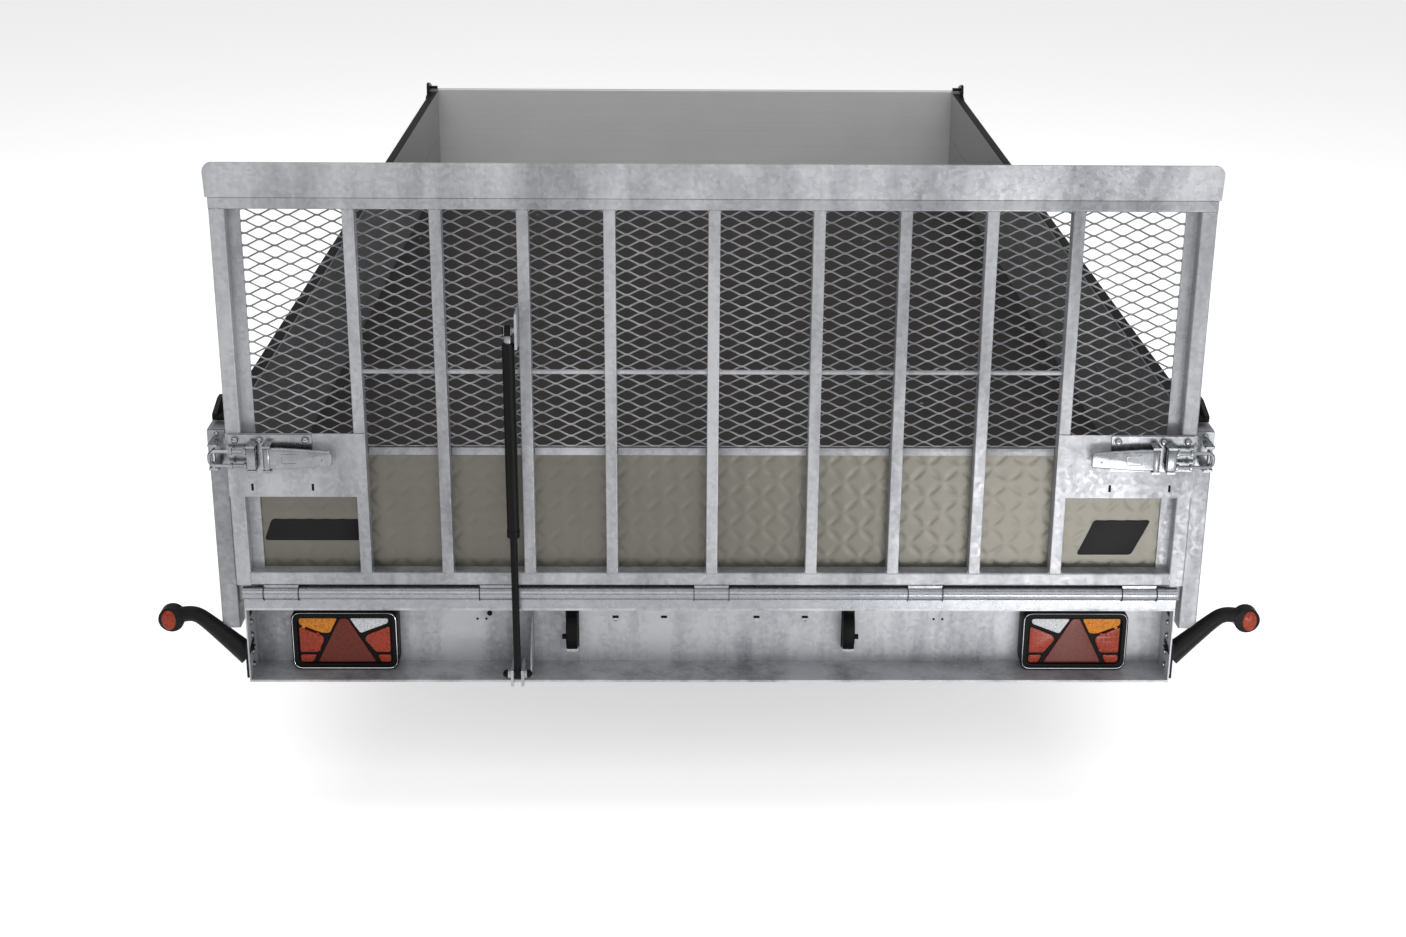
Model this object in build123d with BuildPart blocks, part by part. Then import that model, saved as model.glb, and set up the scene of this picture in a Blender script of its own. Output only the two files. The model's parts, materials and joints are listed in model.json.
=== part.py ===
from build123d import *
import os
from math import atan2, cos, degrees, hypot, radians, sin

# A tandem-axle flatbed trailer with drop sides and a full-width mesh loading ramp hinged to its
# rear end. Millimetres; +X is the right-hand side seen from behind, +Y points at the coupling
# and +Z is up. The origin is on the ground under the middle of the whole trailer, ramp closed.

os.makedirs("parts", exist_ok=True)

# --- Bed ---------------------------------------------------------------------------------------
bed_length = 4250.0
floor_half_width = 1040.0
floor_height = 615.0  # top of the floor above the ground
floor_thickness = 18.0
cross_depth = 56.0  # cross members carry the floor
cross_width = 40.0
cross_count = 9
board_gap = 2.0  # running gap round the drop sides
board_thickness = 30.0
board_height = 353.0
board_wall = 2.5
side_latch_rise = 20.0  # hooks above the top of the boards
side_latch_thickness = 10.0
side_latch_pivot = 38.0  # stubs from the ends of the boards
side_latch_drop = 22.0  # stubs below the top of the boards
side_stub_radius = 6.0
plank_height = 176.0  # the boards are pressed together from two hollow planks
post_width = 40.0
post_depth = 79.0
post_wall = 3.0
post_back = 12.0  # the rear posts stand this far behind the floor's rear edge
post_bottom = 96.0  # below the ramp hinge
post_top = 372.0  # rear posts, above the ramp hinge
tube_wall = 3.0
tube_radius = 4.0

# --- Chassis -----------------------------------------------------------------------------------
rail_width = 50.0
rail_depth = 120.0
rail_centre = 600.0
side_rail_width = 60.0
side_rail_depth = 80.0
channel_height = 180.0
channel_half_width = 1030.0
channel_web = 62.0  # back of the web, ahead of the floor's rear edge
sheet = 5.0  # rear channel and hinge strip thickness
end_plate = 3.0
plate_hole_spacing = 430.0
plate_hole_radius = 3.0
plate_hole_drop = 110.0  # below the ramp hinge

# --- Ramp, measured from its hinge axis ----------------------------------------------------------
hinge_back = 38.0  # behind the floor's rear edge and below the floor's top
ramp_half_width = 1043.0
ramp_skin = 36.0  # inner face of the ramp, ahead of the hinge axis
ramp_depth = 40.0
bottom_bar_low = 20.0
bottom_bar_height = 30.0
top_bar_low = 861.0
top_bar_height = 25.0
upright_width = 33.0
flange_width = 25.0
flange_thickness = 4.0
lip_height = 76.0
lip_thickness = 4.0
lip_lean = 10.0  # degrees outwards
lip_overhang = 5.0
lip_corner = 22.0
rib_width = 25.0
rib_places = (0.0, 218.0, 398.0, 578.0, 757.0)
rod_radius = 5.0
rod_height = 508.0
rod_clearance = 0.3
skin_thickness = 3.0
chequer_top = 330.0
edge_bar_height = 22.0
latch_plate_low = 229.0
latch_plate_high = 373.0
latch_plate_thickness = 3.0
latch_plate_screws = (862.0, 992.0)
latch_screw_radius = 3.0
knuckle_radius = 14.5
knuckle_width = 76.0
knuckle_places = (-946.0, -472.0, 0.0, 472.0, 946.0)
knuckle_gap = 1.0
pin_radius = 8.0
pin_clearance = 0.05
ramp_clearance = 1.0

# --- Ramp latches, measured from the middle of the trailer and the ramp hinge ---------------------
latch_height = 325.0
latch_base_inner = 858.0
latch_base_outer = 1036.0
latch_base_low = 300.0
latch_base_high = 372.0
latch_base_thickness = 4.0
handle_pivot = 952.0
handle_tip = 803.0
handle_thickness = 12.0
claw_pivot = 985.0
claw_tip = 1080.0
latch_pin_radius = 4.0
latch_pin_stand = 20.0  # pin centres behind the base plate
ear_thickness = 5.0
keeper_pin_radius = 5.0

# --- Gas strut, measured from the ramp hinge -------------------------------------------------------
strut_side = 430.0  # left of the middle
strut_top_back = 47.0
strut_top_height = 615.0
strut_foot_back = 24.0
strut_foot_drop = 185.0
barrel_radius = 13.5
barrel_length = 440.0
rod_thickness = 8.0
eye_radius = 13.0
eye_width = 14.0
eye_pin_radius = 6.0
barrel_start = 26.0
rod_engaged = 25.0

# --- Lamps, measured from the ramp hinge -----------------------------------------------------------
lamp_place = 822.0
lamp_width = 238.0
lamp_height = 141.0
lamp_depth = 52.0
lamp_top_drop = 66.0
lens_margin = 8.0
lens_thickness = 6.0
plate_lamp_place = 313.0
plate_lamp_size = (30.0, 46.0, 94.0)
plate_lamp_drop = 97.5  # its middle, below the ramp hinge
marker_place = 1197.0
marker_drop = 70.0
marker_radius = 29.0
marker_depth = 34.0
marker_root_drop = 165.0
marker_arm_radius = 14.0

# --- Running gear ----------------------------------------------------------------------------------
tyre_radius = 234.0
tyre_width = 195.0
tyre_wall = 9.0
bead_radius = 128.0
bead_width = 140.0
bead_height = 17.0
wheel_bolts = 5
wheel_bolt_circle = 56.0
wheel_place = 905.0
axle_group_back = 150.0  # behind the middle of the bed
axle_spacing = 650.0
arm_length = 160.0
arm_drop = 70.0
arm_thickness = 36.0
arm_height = 70.0
arm_inner = 704.0
torsion_tube = 80.0
torsion_half = 700.0
torsion_wall = 6.0
torsion_bush = 110.0  # solid ends that the arms' shafts turn in
torsion_shaft_radius = 25.0
stub_radius = 20.0
stub_end = 925.0
shaft_clearance = 0.05

# --- Drawbar, coupling and jockey wheel ------------------------------------------------------------
drawbar_reach = 1450.0  # coupling nose ahead of the floor's front edge
drawbar_width = 60.0
drawbar_depth = 120.0
drawbar_spread = 540.0  # arm centres under the bed
drawbar_tuck = 700.0  # arms start this far behind the floor's front edge
drawbar_tip_gap = 450.0  # arms end this far behind the coupling nose
drawbar_tip = 66.0  # arm centres at their front ends
housing_half = 55.0
housing_back = 200.0  # behind the drawbar's tip
housing_ahead = 60.0
housing_height = 90.0
nose_tube_radius = 38.0
nose_tube_length = 100.0
gaiter_wall = 6.0
gaiter_gap = 1.0
shaft_radius = 25.0
overrun_travel = 90.0
coupling_height = 455.0  # shaft centre above the ground
ball_radius = 25.0
ball_clearance = 0.05
head_length = 150.0
head_half = 34.0
head_low = 50.0  # below the shaft's centre
head_high = 30.0
ball_back = 45.0  # ball centre behind the coupling's nose
socket_depth = 36.0
coupling_handle_pivot = 95.0  # behind the nose
coupling_handle_length = 150.0
handbrake_length = 300.0
handbrake_thickness = 8.0
jockey_behind_nose = 760.0
jockey_tube_radius = 24.0
jockey_inner_radius = 20.0
jockey_tube_low = 330.0
jockey_tube_high = 770.0
jockey_wheel_radius = 100.0
jockey_wheel_width = 50.0
jockey_stand = 12.0  # between the drawbar's face and the tube
jockey_inner_high = 500.0
jockey_trail = 30.0
jockey_axle_radius = 8.0
fork_plate = 5.0
fork_clearance = 3.0
fork_top = 212.0
clamp_low = 452.0
clamp_high = 510.0
clamp_wall = 9.0
crank_reach = 110.0

# --- Places worked out from the sizes above ----------------------------------------------------------
latch_face = ramp_depth - ramp_skin + latch_plate_thickness
rear_overhang = hinge_back + strut_top_back + barrel_radius
bed_rear = -(bed_length + drawbar_reach - rear_overhang) / 2
bed_front = bed_rear + bed_length
hinge_y = bed_rear - hinge_back
hinge_z = floor_height - hinge_back
floor_low = floor_height - floor_thickness
chassis_top = floor_low - cross_depth
rail_low = chassis_top - rail_depth
channel_low = chassis_top - channel_height
channel_front = bed_rear + channel_web + sheet
channel_rear = hinge_y - sheet / 2
board_inner = floor_half_width + board_gap
board_outer = board_inner + board_thickness
board_low = floor_low + board_gap
board_top = board_low + board_height
post_inner = ramp_half_width + lip_overhang
post_outer = post_inner + post_width
post_front = bed_rear - post_back + post_depth
side_rail_outer = board_outer - board_gap
side_rail_inner = side_rail_outer - side_rail_width
front_post_rear = bed_front - post_depth
ramp_out = hinge_y + ramp_skin - ramp_depth  # outer face of the ramp frame
ramp_in = hinge_y + ramp_skin
skin_in = ramp_in - 1.0
skin_out = skin_in - skin_thickness
upright_inner = ramp_half_width - upright_width
rib_centres = sorted({side * place for side in (-1, 1) for place in rib_places})
nose_y = bed_front + drawbar_reach
sides = (("left", -1), ("right", 1))


def at_x(x):
    """A plane across the trailer's width, drawn in Y and Z, whose normal is +X."""
    return Plane.YZ.offset(x)


def at_y(y):
    """A plane along the trailer, drawn in X and Z, whose normal points rearwards."""
    return Plane.XZ.offset(-y)


def block(x, y, z, mode=Mode.ADD):
    """Adds a block between pairs of X, Y and Z to the part being built."""
    middle = [(low + high) / 2 for low, high in (x, y, z)]
    with Locations(tuple(middle)):
        Box(*[abs(high - low) for low, high in (x, y, z)], mode=mode)


def span(side, near, far):
    """A pair of X values on one side of the trailer, lowest first."""
    return sorted((side * near, side * far))


def bar(start, length, radius, direction=(1, 0, 0), mode=Mode.ADD):
    """Adds a round bar from a point along a direction to the part being built."""
    with Locations(Plane(origin=start, z_dir=direction).location):
        Cylinder(radius, length, align=(Align.CENTER, Align.CENTER, Align.MIN), mode=mode)


def keep(piece, name):
    """Labels a finished piece and writes its file."""
    piece.part.label = name
    export_step(piece.part, f"parts/{name}.step")


# --- Chassis -----------------------------------------------------------------------------------
side_hinge_x = board_outer + 8.0
side_hinge_z = board_low + 7.0
side_knuckle_radius = 7.5
side_pin_radius = 4.0
side_knuckle_half = 15.0
side_hinge_count = 5
side_length = front_post_rear - post_front - 2 * board_gap
side_middle = (front_post_rear + post_front) / 2
side_hinge_step = side_length / side_hinge_count
side_hinge_places = [
    side_middle + (n - (side_hinge_count - 1) / 2) * side_hinge_step for n in range(side_hinge_count)
]

with BuildPart() as long_members:
    with BuildSketch(at_y(front_post_rear)):
        for side in (-1, 1):
            with Locations((side * (side_rail_inner + side_rail_outer) / 2, floor_low - side_rail_depth / 2)):
                RectangleRounded(side_rail_width, side_rail_depth, tube_radius)
                Rectangle(
                    side_rail_width - 2 * tube_wall, side_rail_depth - 2 * tube_wall, mode=Mode.SUBTRACT
                )
    extrude(amount=front_post_rear - channel_front)
    with BuildSketch(at_y(bed_front - cross_width)):
        for side in (-1, 1):
            with Locations((side * rail_centre, chassis_top - rail_depth / 2)):
                RectangleRounded(rail_width, rail_depth, tube_radius)
                Rectangle(rail_width - 2 * tube_wall, rail_depth - 2 * tube_wall, mode=Mode.SUBTRACT)
    extrude(amount=bed_front - cross_width - channel_front)
    for side in (-1, 1):
        for place in side_hinge_places:
            for end in (-1, 1):
                near = place + end * (side_knuckle_half + 1.0)
                far = near + end * side_knuckle_half
                knuckle = (side * side_hinge_x, min(near, far), side_hinge_z)
                bar(knuckle, side_knuckle_half, side_knuckle_radius, (0, 1, 0))
                block(
                    span(side, side_rail_outer - 1, side_rail_outer + 4),
                    sorted((near, far)),
                    (floor_low - 50, floor_low - 4),
                )
                block(
                    span(side, side_rail_outer + 2.5, side_hinge_x),
                    sorted((near, far)),
                    (floor_low - 12, side_hinge_z - 3),
                )
            pin = (side * side_hinge_x, place - 1.5 * side_knuckle_half, side_hinge_z)
            bar(pin, 3 * side_knuckle_half, side_pin_radius, (0, 1, 0))
keep(long_members, "long_members")

with BuildPart() as cross_members:
    cross_step = (bed_length - cross_width) / (cross_count - 1)
    for n in range(cross_count):
        half = post_inner if n in (0, cross_count - 1) else side_rail_inner
        with BuildSketch(at_x(-half)):
            with Locations((bed_rear + cross_width / 2 + n * cross_step, floor_low - cross_depth / 2)):
                RectangleRounded(cross_width, cross_depth, tube_radius)
                Rectangle(cross_width - 2 * tube_wall, cross_depth - 2 * tube_wall, mode=Mode.SUBTRACT)
        extrude(amount=2 * half)
keep(cross_members, "cross_members")

with BuildPart() as rear_channel:
    with BuildSketch(at_x(-channel_half_width)):
        with BuildLine():
            Polyline(
                (channel_rear, chassis_top),
                (channel_front, chassis_top),
                (channel_front, channel_low),
                (channel_rear, channel_low),
                (channel_rear, channel_low + sheet),
                (channel_front - sheet, channel_low + sheet),
                (channel_front - sheet, chassis_top - sheet),
                (channel_rear, chassis_top - sheet),
                close=True,
            )
        make_face()
    extrude(amount=2 * channel_half_width)
    for side in (-1, 1):
        block(
            span(side, channel_half_width - end_plate, channel_half_width),
            (channel_rear, channel_front - sheet),
            (channel_low + sheet, chassis_top - sheet),
        )
    for side in (-1, 1):
        plate_hole = (side * plate_hole_spacing / 2, channel_front - sheet - 1, hinge_z - plate_hole_drop)
        bar(plate_hole, sheet + 2, plate_hole_radius, (0, 1, 0), Mode.SUBTRACT)
keep(rear_channel, "rear_channel")

with BuildPart() as floor_panel:
    block((-floor_half_width, floor_half_width), (bed_rear, bed_front), (floor_low, floor_height))
    chamfer(floor_panel.edges().filter_by(Axis.X).group_by(Axis.Z)[-1], 2)
keep(floor_panel, "floor_panel")

with BuildPart() as corner_posts:
    for side in (-1, 1):
        for front, low, high in (
            (post_front, hinge_z - post_bottom, hinge_z + post_top),
            (bed_front, hinge_z - post_bottom, board_top),
        ):
            with BuildSketch(Plane.XY.offset(low)):
                with Locations((side * (post_inner + post_outer) / 2, front - post_depth / 2)):
                    RectangleRounded(post_width, post_depth, tube_radius)
                    Rectangle(post_width - 2 * post_wall, post_depth - 2 * post_wall, mode=Mode.SUBTRACT)
            extrude(amount=high - low - post_wall)
            with BuildSketch(Plane.XY.offset(high - post_wall)):
                with Locations((side * (post_inner + post_outer) / 2, front - post_depth / 2)):
                    RectangleRounded(post_width, post_depth, tube_radius)
            extrude(amount=post_wall)
keep(corner_posts, "corner_posts")


def board_section(middle_u, low, high, thickness):
    """Draws a board's section: two hollow planks with a groove where they meet."""
    with Locations((middle_u, (low + high) / 2)):
        RectangleRounded(thickness, high - low, 3)
    chambers = ((low + board_wall, low + plank_height - board_wall), (low + plank_height, high - board_wall))
    for bottom, top in chambers:
        with Locations((middle_u, (bottom + top) / 2)):
            Rectangle(thickness - 2 * board_wall, top - bottom, mode=Mode.SUBTRACT)
    for face in (-1, 1):
        with Locations((middle_u + face * thickness / 2, low + plank_height - board_wall / 2)):
            Rectangle(2.4, 2.0, mode=Mode.SUBTRACT)


with BuildPart() as front_board:
    front_half = post_inner
    with BuildSketch(at_x(-front_half)):
        board_section(bed_front - board_thickness / 2, floor_height, board_top, board_thickness)
    extrude(amount=2 * front_half)
keep(front_board, "front_board")

for name, side in sides:
    with BuildPart() as side_board:
        with BuildSketch(at_y(front_post_rear - board_gap)):
            board_section(side * (board_inner + board_outer) / 2, board_low, board_top, board_thickness)
        extrude(amount=side_length)
        for place in side_hinge_places:
            along = (place - side_knuckle_half, place + side_knuckle_half)
            block(span(side, board_outer - 0.5, board_outer + 3), along, (side_hinge_z - 4, board_low + 70))
            block(span(side, board_outer + 1, side_hinge_x), along, (side_hinge_z, side_hinge_z + 7))
            knuckle = (side * side_hinge_x, along[0], side_hinge_z)
            bar(knuckle, 2 * side_knuckle_half, side_knuckle_radius, (0, 1, 0))
            hole = (side * side_hinge_x, along[0] - 1, side_hinge_z)
            bar(hole, 2 * side_knuckle_half + 2, side_pin_radius + pin_clearance, (0, 1, 0), Mode.SUBTRACT)
        for end_y, into in ((post_front + board_gap, 1), (front_post_rear - board_gap, -1)):
            stub = (side * (board_outer - 1), end_y + into * side_latch_pivot, board_top - side_latch_drop)
            bar(stub, side_latch_thickness + 4, side_stub_radius, (side, 0, 0))
    keep(side_board, f"side_board_{name}")

# The drop sides' latches: a cast hook that lies over the top of each post and turns about a stub
# on the end of the board.
board_ends = (("rear", post_front + board_gap, 1), ("front", front_post_rear - board_gap, -1))
for name, side in sides:
    for end_name, end_y, into in board_ends:
        pivot_y = end_y + into * side_latch_pivot
        pivot_z = board_top - side_latch_drop
        face = span(side, board_outer + 0.3, board_outer + 0.3 + side_latch_thickness)
        with BuildPart() as side_latch:
            with BuildSketch(at_x(face[0])):
                with Locations((pivot_y, pivot_z)):
                    Circle(17)
                with BuildLine():
                    Polyline(
                        (pivot_y + into * 14, pivot_z + 9),
                        (pivot_y + into * 2, board_top + side_latch_rise + 18),
                        (pivot_y - into * 26, board_top + side_latch_rise + 18),
                        (pivot_y - into * 88, board_top + side_latch_rise),
                        (pivot_y - into * 88, board_top + 6),
                        (pivot_y - into * 34, board_top + 6),
                        (pivot_y - into * 16, pivot_z - 5),
                        close=True,
                    )
                make_face()
                with Locations((pivot_y - into * 18, board_top + 20)):
                    Circle(8, mode=Mode.SUBTRACT)
            extrude(amount=side_latch_thickness)
            fillet(side_latch.edges().filter_by(GeomType.LINE).filter_by(Axis.X), 4)
            hook_y = sorted((pivot_y - into * 88, pivot_y - into * 62))
            block(span(side, board_inner + 6, board_outer + 5), hook_y, (board_top + 6.5, board_top + 15))
            bore = (face[0], pivot_y, pivot_z)
            bar(bore, side_latch_thickness, side_stub_radius + pin_clearance, mode=Mode.SUBTRACT)
        keep(side_latch, f"side_latch_{end_name}_{name}")

# --- Ramp hinge --------------------------------------------------------------------------------
knuckle_edges = [-channel_half_width]
for place in knuckle_places:
    knuckle_edges += [place - knuckle_width / 2 - knuckle_gap, place + knuckle_width / 2 + knuckle_gap]
knuckle_edges.append(channel_half_width)

with BuildPart() as ramp_hinge_leaf:
    block(
        (-channel_half_width, channel_half_width),
        (channel_rear, channel_rear + sheet),
        (chassis_top, hinge_z - knuckle_radius - ramp_clearance),
    )
    for start, end in zip(knuckle_edges[::2], knuckle_edges[1::2]):
        under_knuckle = (hinge_z - knuckle_radius - 2, hinge_z - pin_radius - 1)
        block((start, end), (channel_rear, channel_rear + sheet), under_knuckle)
        bar((start, hinge_y, hinge_z), end - start, knuckle_radius)
        bar((start, hinge_y, hinge_z), end - start, pin_radius + pin_clearance, mode=Mode.SUBTRACT)
keep(ramp_hinge_leaf, "ramp_hinge_leaf")

with BuildPart() as hinge_pin:
    bar((-channel_half_width, hinge_y, hinge_z), 2 * channel_half_width, pin_radius)
    chamfer(hinge_pin.edges().group_by(Axis.X)[0] + hinge_pin.edges().group_by(Axis.X)[-1], 1)
keep(hinge_pin, "hinge_pin")

# --- Ramp --------------------------------------------------------------------------------------
with BuildPart() as ramp_knuckles:
    for place in knuckle_places:
        start = place - knuckle_width / 2
        bar((start, hinge_y, hinge_z), knuckle_width, knuckle_radius)
        block(
            (start, start + knuckle_width), (ramp_out, ramp_out + 14), (hinge_z + 6, hinge_z + bottom_bar_low)
        )
        bar((start, hinge_y, hinge_z), knuckle_width, pin_radius + pin_clearance, mode=Mode.SUBTRACT)
keep(ramp_knuckles, "ramp_knuckles")

upright_low = hinge_z + bottom_bar_low
upright_high = hinge_z + top_bar_low
bottom_bar_high = upright_low + bottom_bar_height

with BuildPart() as ramp_uprights:
    for side in (-1, 1):
        with BuildSketch(Plane.XY.offset(upright_low)):
            with Locations((side * (ramp_half_width - upright_width / 2), ramp_in - ramp_depth / 2)):
                RectangleRounded(upright_width, ramp_depth, tube_radius)
                Rectangle(upright_width - 2 * tube_wall, ramp_depth - 2 * tube_wall, mode=Mode.SUBTRACT)
        extrude(amount=upright_high - upright_low)
        block(
            span(side, upright_inner - flange_width, upright_inner + 1),
            (skin_out - flange_thickness, skin_out),
            (bottom_bar_high, upright_high),
        )
keep(ramp_uprights, "ramp_uprights")

with BuildPart() as ramp_cross_bars:
    with BuildSketch(at_x(-upright_inner)):
        with Locations((ramp_in - ramp_depth / 2, upright_low + bottom_bar_height / 2)):
            RectangleRounded(ramp_depth, bottom_bar_height, tube_radius)
            Rectangle(ramp_depth - 2 * tube_wall, bottom_bar_height - 2 * tube_wall, mode=Mode.SUBTRACT)
    extrude(amount=2 * upright_inner)
    with BuildSketch(at_x(-ramp_half_width)):
        with Locations((ramp_in - ramp_depth / 2, upright_high + top_bar_height / 2)):
            RectangleRounded(ramp_depth, top_bar_height, tube_radius)
            Rectangle(ramp_depth - 2 * tube_wall, top_bar_height - 2 * tube_wall, mode=Mode.SUBTRACT)
    extrude(amount=2 * ramp_half_width)
    rod_half = rib_places[-1] + rib_width / 2 + 2
    bar((-rod_half, ramp_out + 14, hinge_z + rod_height), 2 * rod_half, rod_radius)
keep(ramp_cross_bars, "ramp_cross_bars")

lip_low = upright_high + top_bar_height
with BuildPart() as ramp_lip:
    lip_plane = Plane(
        origin=(0, ramp_out + lip_thickness / 2, lip_low),
        x_dir=(1, 0, 0),
        z_dir=(0, -cos(radians(lip_lean)), -sin(radians(lip_lean))),
    )
    lip_half = ramp_half_width + lip_overhang
    with BuildSketch(lip_plane):
        with Locations((0, lip_height / 2)):
            Rectangle(2 * lip_half, lip_height)
        fillet(vertices().group_by(Axis.Y)[-1], lip_corner)
    extrude(amount=lip_thickness / 2, both=True)
    block((-lip_half, lip_half), (ramp_out, ramp_in), (lip_low, lip_low + lip_thickness))
keep(ramp_lip, "ramp_lip")

with BuildPart() as ramp_ribs:
    rib_depth = skin_out - ramp_out
    with BuildSketch(Plane.XY.offset(bottom_bar_high)):
        with Locations(*[(centre, (ramp_out + skin_out) / 2) for centre in rib_centres]):
            RectangleRounded(rib_width, rib_depth, tube_radius / 2)
            Rectangle(rib_width - 2 * tube_wall, rib_depth - 2 * tube_wall, mode=Mode.SUBTRACT)
    extrude(amount=upright_high - bottom_bar_high)
    bar(
        (-rod_half - 5, ramp_out + 14, hinge_z + rod_height),
        2 * rod_half + 10,
        rod_radius + rod_clearance,
        mode=Mode.SUBTRACT,
    )
keep(ramp_ribs, "ramp_ribs")

with BuildPart() as ramp_mesh:
    block(
        (-upright_inner + 1, upright_inner - 1),
        (skin_out, skin_in),
        (hinge_z + chequer_top + edge_bar_height, upright_high),
    )
keep(ramp_mesh, "ramp_mesh")

with BuildPart() as chequer_plate:
    block(
        (-upright_inner + 1, upright_inner - 1), (skin_out, skin_in), (bottom_bar_high, hinge_z + chequer_top)
    )
    for left, right in zip(rib_centres, rib_centres[1:]):
        block(
            (left + rib_width / 2 + 0.5, right - rib_width / 2 - 0.5),
            (skin_out - flange_thickness, skin_in),
            (hinge_z + chequer_top - 3, hinge_z + chequer_top + edge_bar_height),
        )
keep(chequer_plate, "chequer_plate")

strut_x = -strut_side
strut_top = (strut_x, hinge_y - strut_top_back, hinge_z + strut_top_height)
strut_foot_point = (strut_x, hinge_y - strut_foot_back, hinge_z - strut_foot_drop)
strut_rib_face = -rib_places[2] - rib_width / 2

with BuildPart() as ramp_brackets:
    for side in (-1, 1):
        block(
            span(side, rib_places[-1] - rib_width / 2, ramp_half_width),
            (ramp_out - latch_plate_thickness, ramp_out),
            (hinge_z + latch_plate_low, hinge_z + latch_plate_high),
        )
        for screw in latch_plate_screws:
            hole = (side * screw, ramp_out - latch_plate_thickness - 1, hinge_z + latch_plate_low + 22)
            bar(hole, latch_plate_thickness + 2, latch_screw_radius, (0, 1, 0), Mode.SUBTRACT)
    block(
        (strut_rib_face - 5, strut_rib_face),
        (strut_top[1] - 13, ramp_out + 20),
        (strut_top[2] - 38, strut_top[2] + 38),
    )
    bar(
        (strut_rib_face - 4, strut_top[1], strut_top[2]),
        strut_rib_face - 4 - strut_x - eye_width / 2 - 0.3,
        eye_pin_radius,
        (-1, 0, 0),
    )
keep(ramp_brackets, "ramp_brackets")

# --- Ramp latches --------------------------------------------------------------------------------
base_out = hinge_y - latch_face - latch_base_thickness
pin_y = base_out - latch_pin_stand
latch_z = hinge_z + latch_height
ear_half = 30.0  # outer faces of the ears, above and below the latch's middle

with BuildPart() as latch_bases:
    for side in (-1, 1):
        block(
            span(side, latch_base_inner, latch_base_outer),
            (base_out, base_out + latch_base_thickness),
            (hinge_z + latch_base_low - 8, hinge_z + latch_base_high),
        )
        for pivot in (handle_pivot, claw_pivot):
            for up in (-1, 1):
                ear_z = latch_z + up * (ear_half - ear_thickness / 2)
                block(
                    span(side, pivot - 9, pivot + 9),
                    (pin_y - 7, base_out + 1),
                    (ear_z - ear_thickness / 2, ear_z + ear_thickness / 2),
                )
            bar((side * pivot, pin_y, latch_z - ear_half), 2 * ear_half, latch_pin_radius, (0, 0, 1))
        for rivet in (latch_base_inner + 14, latch_base_outer - 66, latch_base_outer - 14):
            bar((side * rivet, base_out + 1, hinge_z + latch_base_high - 12), 5, 6.5, (0, -1, 0))
keep(latch_bases, "latch_bases")

for name, side in sides:
    with BuildPart() as latch_handle:
        with BuildSketch(at_y(pin_y + handle_thickness / 2)):
            with BuildLine():
                Polyline(
                    (side * (handle_pivot - 11), latch_z - 24),
                    (side * (handle_pivot - 11), latch_z + 24),
                    (side * (handle_pivot - 40), latch_z + 23),
                    (side * handle_tip, latch_z + 17),
                    (side * handle_tip, latch_z - 17),
                    (side * (handle_pivot - 40), latch_z - 23),
                    close=True,
                )
            make_face()
        extrude(amount=handle_thickness)
        fillet(latch_handle.edges().filter_by(Axis.Y), 5)
        fillet(latch_handle.faces().sort_by(Axis.Y)[0].edges(), 3)
        bar((side * handle_pivot, pin_y, latch_z - 24), 48, 8.5, (0, 0, 1))
        block(
            span(side, handle_pivot - 14, handle_pivot), (pin_y - 5, pin_y + 5), (latch_z - 23, latch_z + 23)
        )
        bar(
            (side * handle_pivot, pin_y, latch_z - 25),
            50,
            latch_pin_radius + pin_clearance,
            (0, 0, 1),
            Mode.SUBTRACT,
        )
    keep(latch_handle, f"latch_handle_{name}")

    with BuildPart() as latch_claw:
        bar((side * claw_pivot, pin_y, latch_z - 24), 48, 8.5, (0, 0, 1))
        for up in (-1, 1):
            block(
                span(side, claw_pivot, claw_tip),
                (pin_y - 4, pin_y + 4),
                sorted((latch_z + up * 10, latch_z + up * 22)),
            )
        block(span(side, claw_tip - 12, claw_tip), (pin_y - 4, pin_y + 4), (latch_z - 22, latch_z + 22))
        fillet(latch_claw.edges().filter_by(Axis.Y).group_by(Axis.X)[-1 if side > 0 else 0], 4)
        bar(
            (side * claw_pivot, pin_y, latch_z - 25),
            50,
            latch_pin_radius + pin_clearance,
            (0, 0, 1),
            Mode.SUBTRACT,
        )
    keep(latch_claw, f"latch_claw_{name}")

keeper_x = (post_inner + post_outer) / 2
keeper_pin_y = pin_y + 4 + 1.0 + keeper_pin_radius
with BuildPart() as latch_keepers:
    post_rear = bed_rear - post_back
    for side in (-1, 1):
        block(
            span(side, post_inner + 2, post_outer),
            (post_rear - 4, post_rear),
            (latch_z - 40, latch_z + 46),
        )
        for up in (-1, 1):
            block(
                span(side, keeper_x - 10, keeper_x + 10),
                (keeper_pin_y - 5, post_rear - 3),
                sorted((latch_z + up * 24, latch_z + up * 29)),
            )
        bar((side * keeper_x, keeper_pin_y, latch_z - 29), 58, keeper_pin_radius, (0, 0, 1))
keep(latch_keepers, "latch_keepers")

# --- Gas strut: its rod turns on the chassis and its barrel slides along the rod ------------------
strut_length = hypot(strut_top[1] - strut_foot_point[1], strut_top[2] - strut_foot_point[2])
up_strut = tuple((top - foot) / strut_length for top, foot in zip(strut_top, strut_foot_point))


def along_strut(distance):
    """The point on the strut's line this far above its foot."""
    return tuple(start + distance * step for start, step in zip(strut_foot_point, up_strut))


barrel_end = strut_length - barrel_start - barrel_length
with BuildPart() as strut_cylinder:
    bar(along_strut(barrel_end), barrel_length, barrel_radius, up_strut)
    bar(along_strut(strut_length - barrel_start - 1), barrel_start - 6, 6, up_strut)
    bar((strut_x - eye_width / 2, strut_top[1], strut_top[2]), eye_width, eye_radius)
    bar((strut_x - eye_width / 2 - 5, strut_top[1], strut_top[2]), 6, 8)
    bar(
        along_strut(barrel_end - 1), barrel_length - 20, rod_thickness + 0.3, up_strut, mode=Mode.SUBTRACT
    )
keep(strut_cylinder, "strut_cylinder")

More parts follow.
